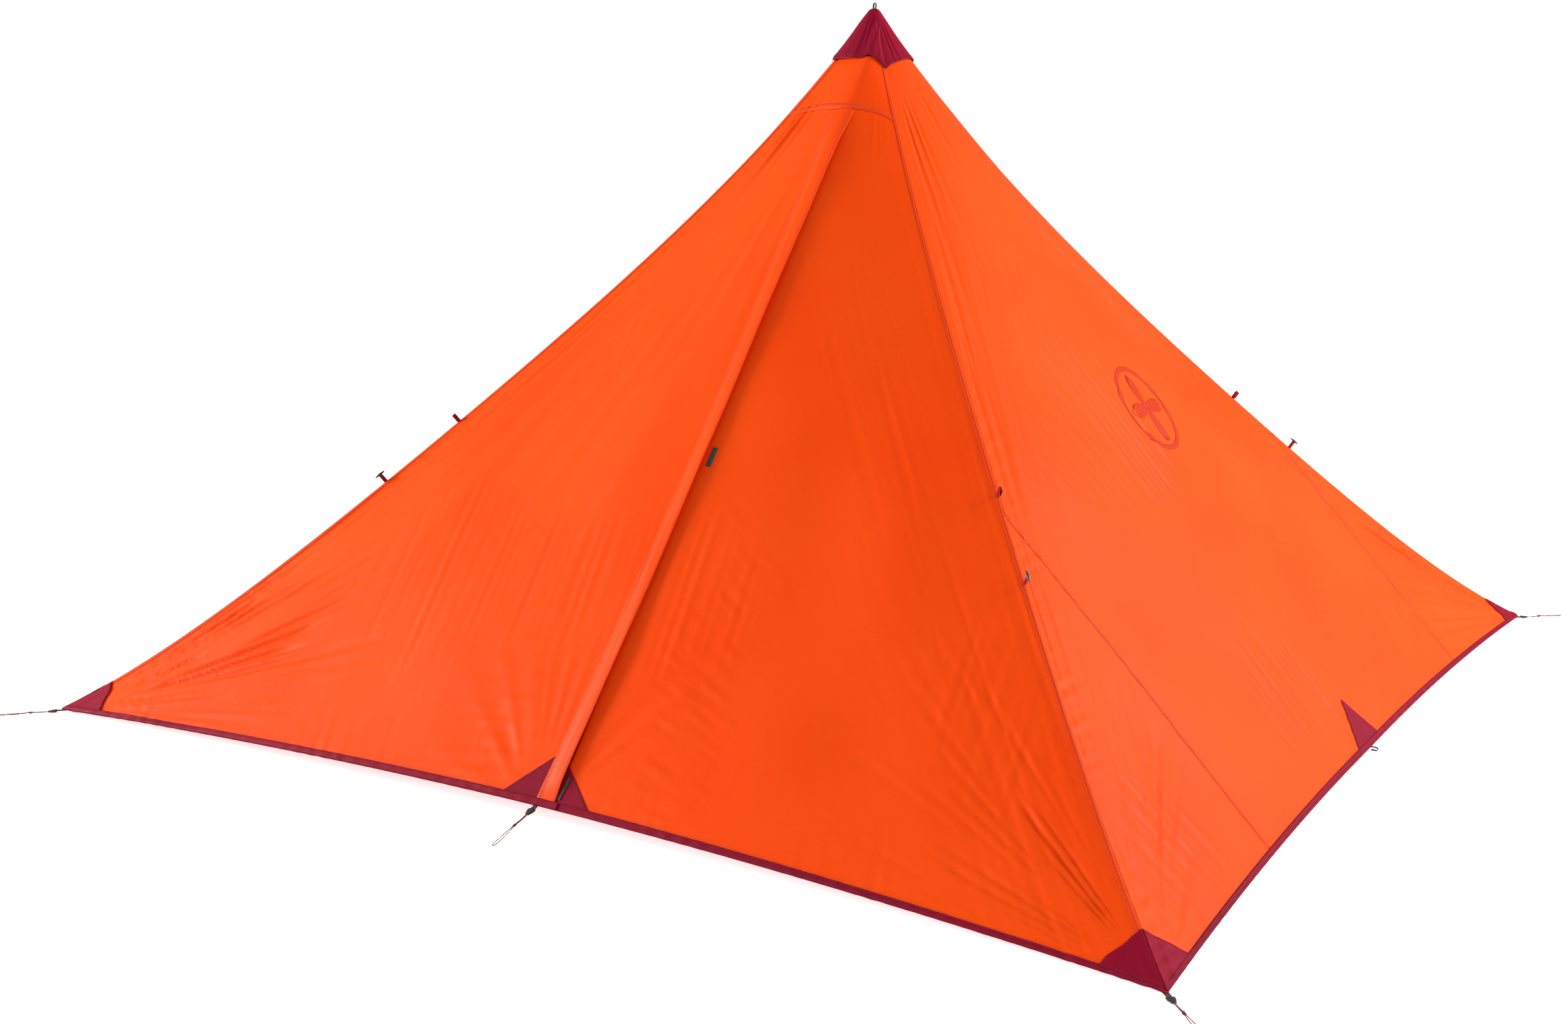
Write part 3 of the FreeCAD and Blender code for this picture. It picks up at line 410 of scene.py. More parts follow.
def cloth_material(name, front, deep, through, share, gloss, grid_mm, grid_depth, mottle, shine=0.10):
    """Coated woven nylon on its own UV map, which is in metres."""
    material, tree = new_material(name)
    uv = add_node(tree, "ShaderNodeUVMap", {"uv_map": "cloth"})
    place = add_node(
        tree, "ShaderNodeMapping", {"Scale": (1000 / grid_mm,) * 3}, {"Vector": uv.outputs[0]}
    )
    grid = add_node(
        tree,
        "ShaderNodeTexBrick",
        {
            "offset": 0.0,
            "Color1": (0.5, 0.5, 0.5, 1),
            "Color2": (0.5, 0.5, 0.5, 1),
            "Mortar": (1, 1, 1, 1),
            "Scale": 1.0,
            "Mortar Size": 0.05,
            "Mortar Smooth": 0.6,
            "Brick Width": 1.0,
            "Row Height": 1.0,
        },
        {"Vector": place.outputs[0]},
    )
    crumple = noise(tree, uv.outputs[0], 26.0, 5.0, {"Roughness": 0.55, "Distortion": 0.6})
    patchy = noise(tree, uv.outputs[0], 2.2, 3.0, {"Roughness": 0.5})
    spread = add_node(
        tree,
        "ShaderNodeMapRange",
        {"From Min": 0.35, "From Max": 0.7, "To Min": 0.0, "To Max": mottle},
        {"Value": patchy},
    )
    colour = two_tone(tree, spread.outputs[0], to_linear(front), to_linear(deep))
    darker = add_node(
        tree,
        "ShaderNodeMix",
        {"data_type": "RGBA", "blend_type": "MULTIPLY", 7: (0.93, 0.90, 0.90, 1)},
        {0: grid.outputs["Fac"], 6: colour},
    )
    raised = add_node(
        tree,
        "ShaderNodeMath",
        {"operation": "MULTIPLY_ADD", 1: grid_depth, 2: 0.0},
        {0: grid.outputs["Fac"]},
    )
    height = add_node(
        tree,
        "ShaderNodeMath",
        {"operation": "MULTIPLY_ADD", 1: 0.0012},
        {0: crumple, 2: raised.outputs[0]},
    )
    normal = relief(tree, height.outputs[0], 0.55, 1.0)
    worn = add_node(
        tree,
        "ShaderNodeMapRange",
        {"To Min": gloss - 0.05, "To Max": gloss + 0.07},
        {"Value": crumple},
    )
    face = add_node(
        tree,
        "ShaderNodeBsdfPrincipled",
        {"IOR": 1.45, "Specular IOR Level": shine},
        {"Base Color": darker.outputs[2], "Roughness": worn.outputs[0], "Normal": normal},
    )
    behind = add_node(
        tree, "ShaderNodeBsdfTranslucent", {"Color": to_linear(through)}, {"Normal": normal}
    )
    both = add_node(
        tree,
        "ShaderNodeMixShader",
        {0: share},
        {1: face.outputs[0], 2: behind.outputs[0]},
    )
    add_node(tree, "ShaderNodeOutputMaterial", links={"Surface": both.outputs[0]})
    return material


shell_nylon = cloth_material(
    "shell_nylon_coated", "#F3520B", "#F04807", "#F83E03", 0.32, 0.44, RIPSTOP_MM, 0.00008, 0.8
)


def grid_faces(rows, columns, closed=False):
    """Quads of a grid of points, down a column and then to the right, so that they face out."""
    index = np.arange(rows * columns).reshape(rows, columns)
    if closed:
        index = np.concatenate((index, index[:, :1]), 1)
    corners = (index[:-1, :-1], index[1:, :-1], index[1:, 1:], index[:-1, 1:])
    return np.stack(corners, -1).reshape(-1, 4)


def new_piece(name, points, faces, material, uv=None, thick=None):
    """A smooth-shaded piece from an array of points and quads, with a UV map in metres."""
    mesh = bpy.data.meshes.new(name)
    mesh.from_pydata(np.asarray(points).reshape(-1, 3).tolist(), [], faces.tolist())
    if uv is not None:
        corner = np.empty(len(mesh.loops), np.int32)
        mesh.loops.foreach_get("vertex_index", corner)
        layer = mesh.uv_layers.new(name="cloth")
        uv = np.asarray(uv).reshape(-1, 2)[corner]
        layer.data.foreach_set("uv", uv.astype(np.float32).ravel())
    form = bmesh.new()
    form.from_mesh(mesh)
    bmesh.ops.remove_doubles(form, verts=form.verts, dist=2e-6)
    form.to_mesh(mesh)
    form.free()
    mesh.polygons.foreach_set("use_smooth", np.ones(len(mesh.polygons), bool))
    mesh.materials.append(material)
    piece = bpy.data.objects.new(name, mesh)
    scene.collection.objects.link(piece)
    if thick:
        solid = piece.modifiers.new("thickness", "SOLIDIFY")
        solid.thickness = thick
        solid.offset = -1.0
    return piece


def cloth_uv(wall, along, out):
    """Metres across the wall and down its slope from the apex."""
    spot = wall.bare(along, out)[0]
    return np.stack((along, -np.hypot(out, HEIGHT - spot[..., 2])), -1)


def wall_piece(name, wall, along, out, material, slot, rise=0.0, thick=SHELL_THICK):
    """A piece of a wall on a grid of (along, out) places."""
    along, out = np.broadcast_arrays(along, out)
    return new_piece(
        name,
        wall.skin(along, out, rise),
        grid_faces(*along.shape),
        material,
        cloth_uv(wall, along, out),
        thick,
    )


def on_canopy(piece, *replaced):
    """The piece stays with the canopy, and stands for these nodes of the CAD model."""
    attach(piece, "canopy")
    if replaced:
        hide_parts(*replaced)
    return piece


WALL_NAMES = {FRONT: "front", RIGHT: "right", BACK: "back", LEFT: "left"}


def row_on(wall, along, out, rise):
    """(points, normals) of a row along places on a wall, `rise` off the cloth."""
    line = wall.skin(along, out, rise)
    return line, (wall.skin(along, out, rise + 0.001) - line) / 0.001


def thread_material(name, colour):
    """Twisted polyester thread: matt, with painted shade between its plies."""
    material, tree = new_material(name)
    twist = noise(tree, add_node(tree, "ShaderNodeTexCoord").outputs["Object"], 900.0, 2.0)
    # painted shade: the darker copy of the thread colour stands for the shade between the plies
    between = tuple(0.6 * v for v in to_linear(colour)[:3]) + (1.0,)
    tone = two_tone(tree, twist, to_linear(colour), between)
    normal = relief(tree, twist, 0.3, 0.0003)
    principled(tree, {"Roughness": 0.75, "IOR": 1.5}, {"Base Color": tone, "Normal": normal})
    return material


plum_thread = thread_material("polyester_thread_plum", "#B5485A")
dark_thread = thread_material("polyester_thread_dark", "#5A1F2E")


def stitches(name, rows, material, pitch=0.0042):
    """Lock stitches along rows of (points, normals). Each is a grain 3 mm long that lies along its row:
    its section is a diamond, full from 0.3 of its length before its middle to 0.3 after, and its ends
    are points. The thread is drawn twice as thick as it is, so that it shows."""
    length, wide, tall = 0.0031, 0.0012, 0.0005
    parts = []
    for line, normal in rows:
        run = np.concatenate(([0.0], np.cumsum(np.linalg.norm(np.diff(line, axis=0), axis=1))))

        def at(spots, values):
            return np.stack([np.interp(spots, run, values[:, k]) for k in range(3)], -1)

        spots = np.arange(pitch / 2, run[-1], pitch)
        centre = at(spots, line)
        way = at(spots + pitch / 4, line) - at(spots - pitch / 4, line)
        way = way / np.linalg.norm(way, axis=1, keepdims=True)
        aside = np.cross(way, at(spots, normal))
        aside = aside / np.linalg.norm(aside, axis=1, keepdims=True)
        up = np.cross(aside, way) * tall
        aside = aside * wide / 2
        ring = (aside, up, -aside, -0.4 * up)
        corners = [centre - way * length / 2]
        corners += [centre - way * 0.3 * length + r for r in ring]
        corners += [centre + way * 0.3 * length + r for r in ring]
        corners += [centre + way * length / 2]
        parts.append(np.stack(corners, 1))
    points = np.concatenate(parts)
    ends = []
    sides = []
    for i in range(4):
        j = (i + 1) % 4
        ends += [(0, 1 + j, 1 + i), (9, 5 + i, 5 + j)]
        sides += [(1 + i, 1 + j, 5 + j, 5 + i)]
    first = np.arange(len(points))[:, None, None] * 10
    faces = (first + np.array(ends)).reshape(-1, 3).tolist()
    faces += (first + np.array(sides)).reshape(-1, 4).tolist()
    mesh = bpy.data.meshes.new(name)
    mesh.from_pydata(points.reshape(-1, 3).tolist(), [], faces)
    mesh.polygons.foreach_set("use_smooth", np.ones(len(mesh.polygons), bool))
    mesh.materials.append(material)
    piece = bpy.data.objects.new(name, mesh)
    scene.collection.objects.link(piece)
    return piece


# ---------------------------------------------------------------------------------------------
# Cone: four gores of dark coated nylon over the tops of the walls and the pole's cup. Its edge
# is turned under and stitched, and dips to the ridges. Dark cloth shows little light through.
# ---------------------------------------------------------------------------------------------
trim_nylon = cloth_material(
    "trim_nylon_coated", "#8A0A27", "#780A25", "#A80A22", 0.16, 0.50, 4.0, 0.00012, 0.9, 0.07
)
CONE_MIDDLE = 1.548  # height of the edge in the middle of a wall
CONE_DIP = {1: 0.024, -1: 0.008}  # how much lower it is on two of the ridges, and on the others
CONE_RISE = 0.0044  # how far it lies off the taut walls
cone_walls = [Wall(quarter, 0.0, 0.5, 0.025, 0.039) for quarter in (FRONT, RIGHT, BACK, LEFT)]
cone_form = cone_walls[RIGHT]


def over_door(quarter, along, out):
    """How much higher a door wall lies there than the cone's own form."""
    if quarter in (RIGHT, LEFT):
        return 0.0 * along
    beneath = door_wall[0].bare(along, out)[0] - cone_form.bare(along, out)[0]
    return np.maximum(beneath[..., 2], 0)


def cone_edge(quarter, t):
    """Share of the slope at the cone's edge, which dips most to the front right and back left ridges."""
    hand = 1 if quarter in (FRONT, BACK) else -1
    dip = np.where(t * hand > 0, CONE_DIP[1], CONE_DIP[-1])
    return cone_form.level(t, CONE_MIDDLE - dip * np.abs(t) ** 1.7)


def cone_grid(quarter, columns=61, rows=44):
    """One quarter of the cone: down the wall's own slope, swollen at the tip where the cup fills it,
    with soft upright folds that die out towards the tip and the edge."""
    t = np.linspace(-1, 1, columns)[None, :-1]
    edge = cone_edge(quarter, t)
    v = np.linspace(0, 1, rows)[:, None]
    u = 0.0035 + (edge - 0.0035) * v
    along, out = cone_form.place(np.broadcast_to(t, u.shape), u)
    swell = 0.0055 * np.exp(-(((HEIGHT - 1.665 * (1 - u)) / 0.045) ** 2))
    fold = ripple(t * 7 + quarter * 9, 50 + quarter) * 0.0016 * smooth(v * 3) * (1 - 0.8 * v)
    fold = fold + creases(t * 13 + quarter * 5, 60 + quarter) * 0.0008 * smooth(v * 2)
    fold = fold * (1 - np.abs(t) ** 6)
    seam = -0.0008 * np.exp(-(((1 - np.abs(t)) * u * HALF / 0.0025) ** 2))
    points = cone_walls[quarter].taut(along, out, CONE_RISE + swell + fold + seam)
    points[..., 2] += over_door(quarter, along, out) * smooth(v * 4)
    return points


cone_points = np.concatenate([cone_grid(quarter) for quarter in (FRONT, RIGHT, BACK, LEFT)], 1)
cone_cap = [
    cone_points[:1] * np.array((k, k, 1)) + np.array((0, 0, rise))
    for k, rise in ((0.0, 0.0035), (0.6, 0.0024))
]
cone_points = np.concatenate(cone_cap + [cone_points])
cone_round = np.linspace(0, 4 * 0.22, cone_points.shape[1])[None, :]
cone_uv = np.stack((cone_round * np.ones((cone_points.shape[0], 1)), cone_points[..., 2]), -1)
cone = new_piece(
    "apex_cone_cloth",
    cone_points,
    grid_faces(*cone_points.shape[:2], closed=True),
    trim_nylon,
    cone_uv,
    0.0009,
)
on_canopy(cone, "apex_cone")
cone_rows = []
for quarter, wall in enumerate(cone_walls):
    for lower in (0.93, 0.965):
        t = np.linspace(-1, 1, 90)
        along, out = wall.place(t, cone_edge(quarter, t) * lower)
        line = wall.taut(along, out, 0.0056)
        above = wall.taut(along, out, 0.0066)
        line[..., 2] += over_door(quarter, along, out)
        above[..., 2] += over_door(quarter, along, out)
        cone_rows.append((line, (above - line) / 0.001))
cone_thread = on_canopy(stitches("apex_cone_stitches", cone_rows, dark_thread))

# ---------------------------------------------------------------------------------------------
# Yokes: the top of a door wall, sewn under the cone and lapped over the head of the door.
# ---------------------------------------------------------------------------------------------
WALL_HEAD = 1.556  # the walls end inside the cone
YOKE_SEAM = 1.435  # the seam over a door, in the middle
YOKE_DIP_LEFT = 0.026
YOKE_DIP_RIGHT = 0.035
LAP_THICK = 0.0006  # the turned edge of a seam, and how far it lies off the wall
THREAD_RISE = 0.0008


def yoke_seam(t):
    """Height of the seam over a door, which dips to both ridges."""
    return YOKE_SEAM - np.where(t > 0, YOKE_DIP_RIGHT, YOKE_DIP_LEFT) * t * t


def below_seam(wall, t, drop):
    """(along, out) at a distance in height below the seam over a door."""
    return wall.place(t, wall.level(t, yoke_seam(t) - drop))


for wall in door_wall:
    name = WALL_NAMES[wall.quarter] + "_yoke"
    t = np.linspace(-1, 1, 100)[None, :]
    high = wall.level(t, np.full_like(t, WALL_HEAD))
    low = wall.level(t, yoke_seam(t))
    u = high + (low - high) * np.linspace(0, 1, 34)[:, None]
    along, out = wall.place(np.broadcast_to(t, u.shape), u)
    yoke = on_canopy(wall_piece(name + "_cloth", wall, along, out, shell_nylon, "shell"), name)
    lap_t = np.linspace(-0.985, 0.985, 90)[None, :]
    drops = np.array((-0.0085, -0.004, 0.0, 0.003))[:, None]
    along, out = below_seam(wall, np.broadcast_to(lap_t, (4, 90)), drops)
    lap = wall_piece(name + "_lap", wall, along, out, shell_nylon, "shell", LAP_THICK, LAP_THICK)
    on_canopy(lap)
    lap_t = np.linspace(-0.97, 0.97, 120)
    drops = (-0.0068, -0.0012)
    rows = [row_on(wall, *below_seam(wall, lap_t, drop), THREAD_RISE) for drop in drops]
    thread = on_canopy(stitches(name + "_stitches", rows, plum_thread))

# ---------------------------------------------------------------------------------------------
# Plain walls: one large panel, with a gusset let into each lower corner.
# ---------------------------------------------------------------------------------------------
GUSSETS = {-1: (0.540, 0.735), 1: (0.575, 0.775)}  # share of the ridge and place on the hem
SEAM_LAP = 0.010
SIDES = ((-1, "left"), (1, "right"))


def gusset_edge(wall, hand, out):
    """How far along the edge of the big panel is at a distance out: the ridge, then the gusset seam."""
    share, foot = GUSSETS[hand]
    top = share * HALF
    slope = (foot - top) / (wall.hem_out(foot) - top)
    return np.where(out > top, top + slope * (out - top), out)


for wall in plain_wall:
    side = WALL_NAMES[wall.quarter]
    share = np.linspace(-1, 1, 215)[None, :]
    ridge_share = GUSSETS[-1][0] + (GUSSETS[1][0] - GUSSETS[-1][0]) * (share + 1) / 2
    start = wall.level(share, np.full_like(share, WALL_HEAD))
    upper = np.linspace(0, 1, 108)[:, None]
    lower = np.linspace(0, 1, 96)[1:, None]
    u = np.concatenate((start + (ridge_share - start) * upper, ridge_share + (1 - ridge_share) * lower))
    along = share * u * HALF
    for _ in range(10):
        out = u * (HALF - wall.hem(np.clip(along / (u * HALF), -1, 1))[0])
        edges = []
        for hand in (-1, 1):
            on_ridge = out <= GUSSETS[hand][0] * HALF
            edges.append(gusset_edge(wall, hand, np.where(on_ridge, u * HALF, out)))
        along = share * np.where(share < 0, *edges)
    panel = wall_piece(side + "_wall_cloth", wall, along, out, shell_nylon, "shell")
    on_canopy(panel, side + "_wall")
    for hand, label in SIDES:
        u = np.linspace(GUSSETS[hand][0], 1, 96)[:, None]
        share = np.linspace(0, 1, 60)[None, :]
        along = u * HALF + 0 * share
        for _ in range(8):
            out = u * (HALF - wall.hem(np.clip(along / (u * HALF), 0, 1))[0])
            inner = gusset_edge(wall, hand, out)
            along = inner + (u * HALF - inner) * share
        along = hand * along
        if hand < 0:
            along, out = along[:, ::-1], out[:, ::-1]
        name = f"{side}_wall_{label}"
        gusset = wall_piece(name + "_gusset", wall, along, out, shell_nylon, "shell")
        on_canopy(gusset, "wall_gussets")
        v = np.linspace(0.015, 0.985, 200)
        share, foot = GUSSETS[hand]
        top_out = share * HALF
        seam_out = top_out + (wall.hem_out(foot) - top_out) * v
        seam_along = hand * gusset_edge(wall, hand, seam_out)
        width = np.array((-0.5, -0.2, 0.2, 0.5))[None, :] * SEAM_LAP
        band = (seam_along[:, None] + width, seam_out[:, None] + 0 * width)
        lap = wall_piece(name + "_lap", wall, *band, shell_nylon, "shell", LAP_THICK, LAP_THICK)
        on_canopy(lap)
        rows = [row_on(wall, seam_along + aside, seam_out, THREAD_RISE) for aside in (-0.003, 0.003)]
        thread = on_canopy(stitches(name + "_stitches", rows, plum_thread))

# ---------------------------------------------------------------------------------------------
# Doors: each half of a door wall is cut in one from the corner to the zip, and folds outwards
# along a line from the zip's head to a place on the hem. The halves are drawn closed, not bent across
# that line.
# ---------------------------------------------------------------------------------------------
FOLD_HEAD = 0.006  # half distance between the two fold lines at the zip's head
FOLD_FOOT = 0.640
ZIP_EDGE = 0.0042
HEAD_OUT = 0.209457  # how far out the zip's head is


def half_body(wall, hand):
    return f"{WALL_NAMES[wall.quarter]}_{'left' if hand < 0 else 'right'}_half"


def bend_with_door(piece, wall, hand):
    """Bakes the piece's placement into its mesh. The square to the fold line on the left (-1) or right
    (1) of a door is worked out, but the piece is not bent across it.
    """
    foot = ZIP_LINE + hand * FOLD_FOOT
    run = np.array((hand * (FOLD_FOOT - FOLD_HEAD), HEAD_OUT - wall.hem_out(foot)))
    square = np.array((-run[1], run[0])) / np.hypot(*run)
    if square[0] * hand > 0:
        square = -square
    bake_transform(piece)


for wall in door_wall:
    face = WALL_NAMES[wall.quarter]
    for hand, label in SIDES:
        t = np.linspace(0, 1, 186)[None, :] ** 1.05
        u = wall.level(hand * t, yoke_seam(hand * t))
        u = u + (1 - u) * np.linspace(0, 1, 216)[:, None]
        along = wall.line + hand * (ZIP_EDGE + t * (u * HALF - hand * wall.line - ZIP_EDGE))
        out = u * (HALF - wall.hem(np.clip(along / (u * HALF), -1, 1))[0])
        if hand < 0:
            along, out = along[:, ::-1], out[:, ::-1]
        half = wall_piece(f"{face}_{label}_side_cloth", wall, along, out, shell_nylon, "shell")
        bend_with_door(half, wall, hand)
        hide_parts(f"{face}_{label}_panel", f"{face}_{label}_door")

# Ridge seams: the allowance of the two walls, turned to the door side and felled with two rows
# of orange thread. Three layers of cloth let less light through, so it shows as a darker band.
felled_nylon = cloth_material(
    "shell_nylon_felled", "#E0420A", "#D63A06", "#CC3204", 0.10, 0.48, RIPSTOP_MM, 0.00008, 0.5
)
orange_thread = thread_material("polyester_thread_orange", "#D8421A")
ON_TOP = 0.0002  # a row of thread lies this far off the layer that it is sewn to
for wall in door_wall:
    face = WALL_NAMES[wall.quarter]
    for hand, label in SIDES:
        top = wall.level(np.array([hand * 1.0]), np.array([WALL_HEAD - 0.012]))[0]
        u = np.linspace(top, 0.955, 230)[:, None]
        inward = np.array((0.0122, 0.0119, 0.0060, 0.0002))[None, :]
        out = u * HALF + 0 * inward
        along = hand * (out - inward)
        if hand < 0:
            along = along[:, ::-1]
        lift = 0.0010
        name = f"{face}_{label}_ridge"
        on_canopy(wall_piece(name + "_seam", wall, along, out, felled_nylon, "shell", lift, 0.0007))
        ridge = u[:, 0] * HALF
        rows = [row_on(wall, hand * (ridge - inset), ridge, lift + ON_TOP) for inset in (0.0030, 0.0095)]
        on_canopy(stitches(name + "_stitches", rows, orange_thread))


# ---------------------------------------------------------------------------------------------
# Patches and hem tapes: dark coated nylon sewn over the corners, the foot of each door and the
# stake point of a plain wall, and folded round the hem.
# ---------------------------------------------------------------------------------------------
PATCH_RISE = 0.0016
PATCH_THICK = 0.0009


def triangle(first, second, tip, rows, columns):
    """Places in a triangle, on rows that run from the side first-second to its tip, where they close."""
    a = np.linspace(0, 1, columns)[None, :]
    b = np.linspace(0, 1, rows)[:, None]
    along = (1 - b) * (first[0] + a * (second[0] - first[0])) + b * tip[0]
    out = (1 - b) * (first[1] + a * (second[1] - first[1])) + b * tip[1]
    return along, out


def inside_hem(wall, along, out):
    return along, np.minimum(out, wall.hem_out(along) - 0.0004)


def hem_triangle(wall, first, second, peak, rows, columns):
    """Places in a triangle between its peak and two points on the hem, with a foot that follows
    the hem."""
    along, out = triangle(first, second, peak, rows, columns)
    a = np.linspace(0, 1, columns)[None, :]
    hem_along = first[0] + (second[0] - first[0]) * a
    below = wall.hem_out(hem_along) - first[1] - (second[1] - first[1]) * a
    out = out + below * np.linspace(1, 0, rows)[:, None]
    return inside_hem(wall, along[::-1], out[::-1])


def patch_piece(name, wall, along, out):
    return wall_piece(name, wall, along, out, trim_nylon, "trim", PATCH_RISE, PATCH_THICK)


def edge_row(wall, first, second, inset, rise):
    """A row of stitches just inside one side of a patch, `inset` along both axes from it."""
    v = np.linspace(0.04, 0.96, 60)
    along = first[0] + (second[0] - first[0]) * v + inset[0]
    out = first[1] + (second[1] - first[1]) * v + inset[1]
    return row_on(wall, along, np.minimum(out, wall.hem_out(along)), rise)


CORNER_REACH = {(True, -1): 0.122, (True, 1): 0.139, (False, -1): 0.148, (False, 1): 0.100}
for wall in door_wall + plain_wall:
    face = WALL_NAMES[wall.quarter]
    for hand, label in SIDES:
        ridge = HALF - 0.086
        foot = HALF - CORNER_REACH[face in ("front", "back"), hand]
        high = (hand * (ridge - 0.0002), ridge)
        low = (hand * foot, float(wall.hem_out(foot)))
        tip = (hand * (HALF - 0.0015), HALF - 0.0015)
        first, second = (low, high) if hand < 0 else (high, low)
        along, out = triangle(first, second, tip, 26, 26)
        wave = 0.0016 * ripple(np.linspace(0, 9, 26), 70 + wall.quarter)[None, :]
        wave = wave * np.linspace(1, 0, 26)[:, None] ** 3
        along, out = inside_hem(wall, along + hand * wave, out)
        name = f"{face}_wall_{label}_corner"
        on_canopy(patch_piece(name + "_patch", wall, along, out), "corner_patches")
        rows = [edge_row(wall, high, low, (hand * 0.0035, 0.4 * 0.0035), PATCH_RISE + ON_TOP)]
        beside_ridge = ((hand * (ridge - 0.005), ridge), (hand * (HALF - 0.014), HALF - 0.010))
        rows.append(edge_row(wall, *beside_ridge, (0, 0), PATCH_RISE + ON_TOP))
        on_canopy(stitches(name + "_stitches", rows, dark_thread))

for wall in plain_wall:
    face = WALL_NAMES[wall.quarter]
    foot_out = float(wall.hem_out(0.086))
    peak = (0.0, float(wall.hem_out(0.0)) - 0.080)
    parts = []
    for hand, label in SIDES:
        corner = (hand * 0.086, foot_out)
        middle = (0.0, float(wall.hem_out(0.0)))
        first, second = (corner, middle) if hand < 0 else (middle, corner)
        along, out = hem_triangle(wall, first, second, peak, 24, 22)
        on_canopy(patch_piece(f"{face}_wall_middle_patch_{label}", wall, along, out), "wall_patches")
        parts.append(edge_row(wall, peak, corner, (-hand * 0.004, 0.001), PATCH_RISE + ON_TOP))
    on_canopy(stitches(face + "_wall_middle_stitches", parts, dark_thread))


HEM_SECTION = (  # millimetres in from the hem's edge and off the cloth, from outside to inside
    (9.5, 1.8),
    (9.3, 2.5),
    (7.0, 2.6),
    (3.8, 2.6),
    (0.6, 2.5),
    (-0.9, 1.2),
    (-0.9, -1.6),
    (0.6, -2.6),
    (6.0, -2.6),
    (12.2, -2.6),
    (12.4, -2.0),
)


def hem_tape(name, wall, start, end, columns, rise=0.0):
    """Tape folded round the hem: its section is a flat U, 9.5 mm up the outside and 12 mm up the
    inside."""
    across, lift = np.array(HEM_SECTION).T / 1000
    along = np.linspace(start, end, columns)[None, :] + 0 * across[:, None]
    out = wall.hem_out(along) - across[:, None]
    along = along * np.clip(out / wall.hem_out(along), 0, 1)
    puff = 0.0004 * ripple(along * 120, 80 + wall.quarter) * np.where(lift > 0, 1, -1)[:, None]
    points = wall.skin(along, out, lift[:, None] * (1 + rise) + rise * 0.002 + puff)
    uv = np.stack((along, across[:, None] + 0 * along), -1)
    tape = new_piece(name, points, grid_faces(*along.shape), trim_nylon, uv)
    rows = []
    for place in (0.0081, 0.0024):
        row_along = np.linspace(start, end, columns)
        row_out = wall.hem_out(row_along) - place
        row_along = row_along * row_out / wall.hem_out(row_along)
        rows.append(row_on(wall, row_along, row_out, 0.0030 + rise * 0.004))
    return tape, stitches(name + "_stitches", rows, dark_thread)


for wall in plain_wall:
    face = WALL_NAMES[wall.quarter]
    for hand, label in SIDES:
        ends = sorted((0.0, hand * (HALF - 0.003)))
        for piece in hem_tape(f"{face}_wall_{label}_hem", wall, *ends, 170):
            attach(piece, "canopy")
            if not piece.name.endswith("stitches"):
                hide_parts("wall_hems")
for wall in door_wall:
    face = WALL_NAMES[wall.quarter]
    for hand, label, inner in ((-1, "left", ZIP_LINE + 0.018), (1, "right", ZIP_LINE + 0.002)):
        ends = sorted((inner, hand * (HALF - 0.003)))
        over = 0.6 if hand < 0 else 0.0
        for piece in hem_tape(f"{face}_{label}_hem", wall, *ends, 180, over):
            bend_with_door(piece, wall, hand)
            if not piece.name.endswith("stitches"):
                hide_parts("panel_hems", f"{face}_{label}_door_trim")

for wall in door_wall:
    face = WALL_NAMES[wall.quarter]
    sides = {-1: (-0.106, 0.0765, 0.0085), 1: (0.142, 0.0620, ZIP_LINE + ZIP_EDGE)}
    for hand, label in SIDES:
        reach, rise, peak_along = sides[hand]
        edge = ZIP_LINE + hand * ZIP_EDGE
        peak = (peak_along, float(wall.hem_out(peak_along)) - rise)
        corner = (reach, float(wall.hem_out(reach)))
        middle = (edge, float(wall.hem_out(edge)))
        first, second = (corner, middle) if hand < 0 else (middle, corner)
        along, out = hem_triangle(wall, first, second, peak, 24, 26)
        patch = patch_piece(f"{face}_{label}_foot_patch", wall, along, out)
        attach(patch, half_body(wall, hand))
        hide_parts(f"{face}_{label}_door_trim")
        rows = [edge_row(wall, peak, corner, (-hand * 0.004, 0.001), PATCH_RISE + ON_TOP)]
        thread = stitches(f"{face}_{label}_foot_stitches", rows, dark_thread)
        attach(thread, half_body(wall, hand))

# ---------------------------------------------------------------------------------------------
# Storm flap: a strip of shell cloth on the left door half, sewn down beside the zip and into the
# seam over the door, hemmed on its free right edge, and caught under the hem tape at its foot.
# ---------------------------------------------------------------------------------------------
FLAP_OUT = (0.185, 0.263, 0.480, 0.761, 0.870, 1.150, 1.352)
FLAP_LEFT = (0.0030, 0.0065, 0.0165, 0.0225, 0.0215, 0.0120, -0.0010)
FLAP_RIGHT = (0.0590, 0.0575, 0.0575, 0.0575, 0.0575, 0.0530, 0.0425)


def flap_edge(out, places):
    """A smooth edge through a few places: the mean of the straight runs around each point."""
    spread = np.linspace(-0.09, 0.09, 9)
    return np.mean([np.interp(out + d, FLAP_OUT, places) for d in spread], 0)


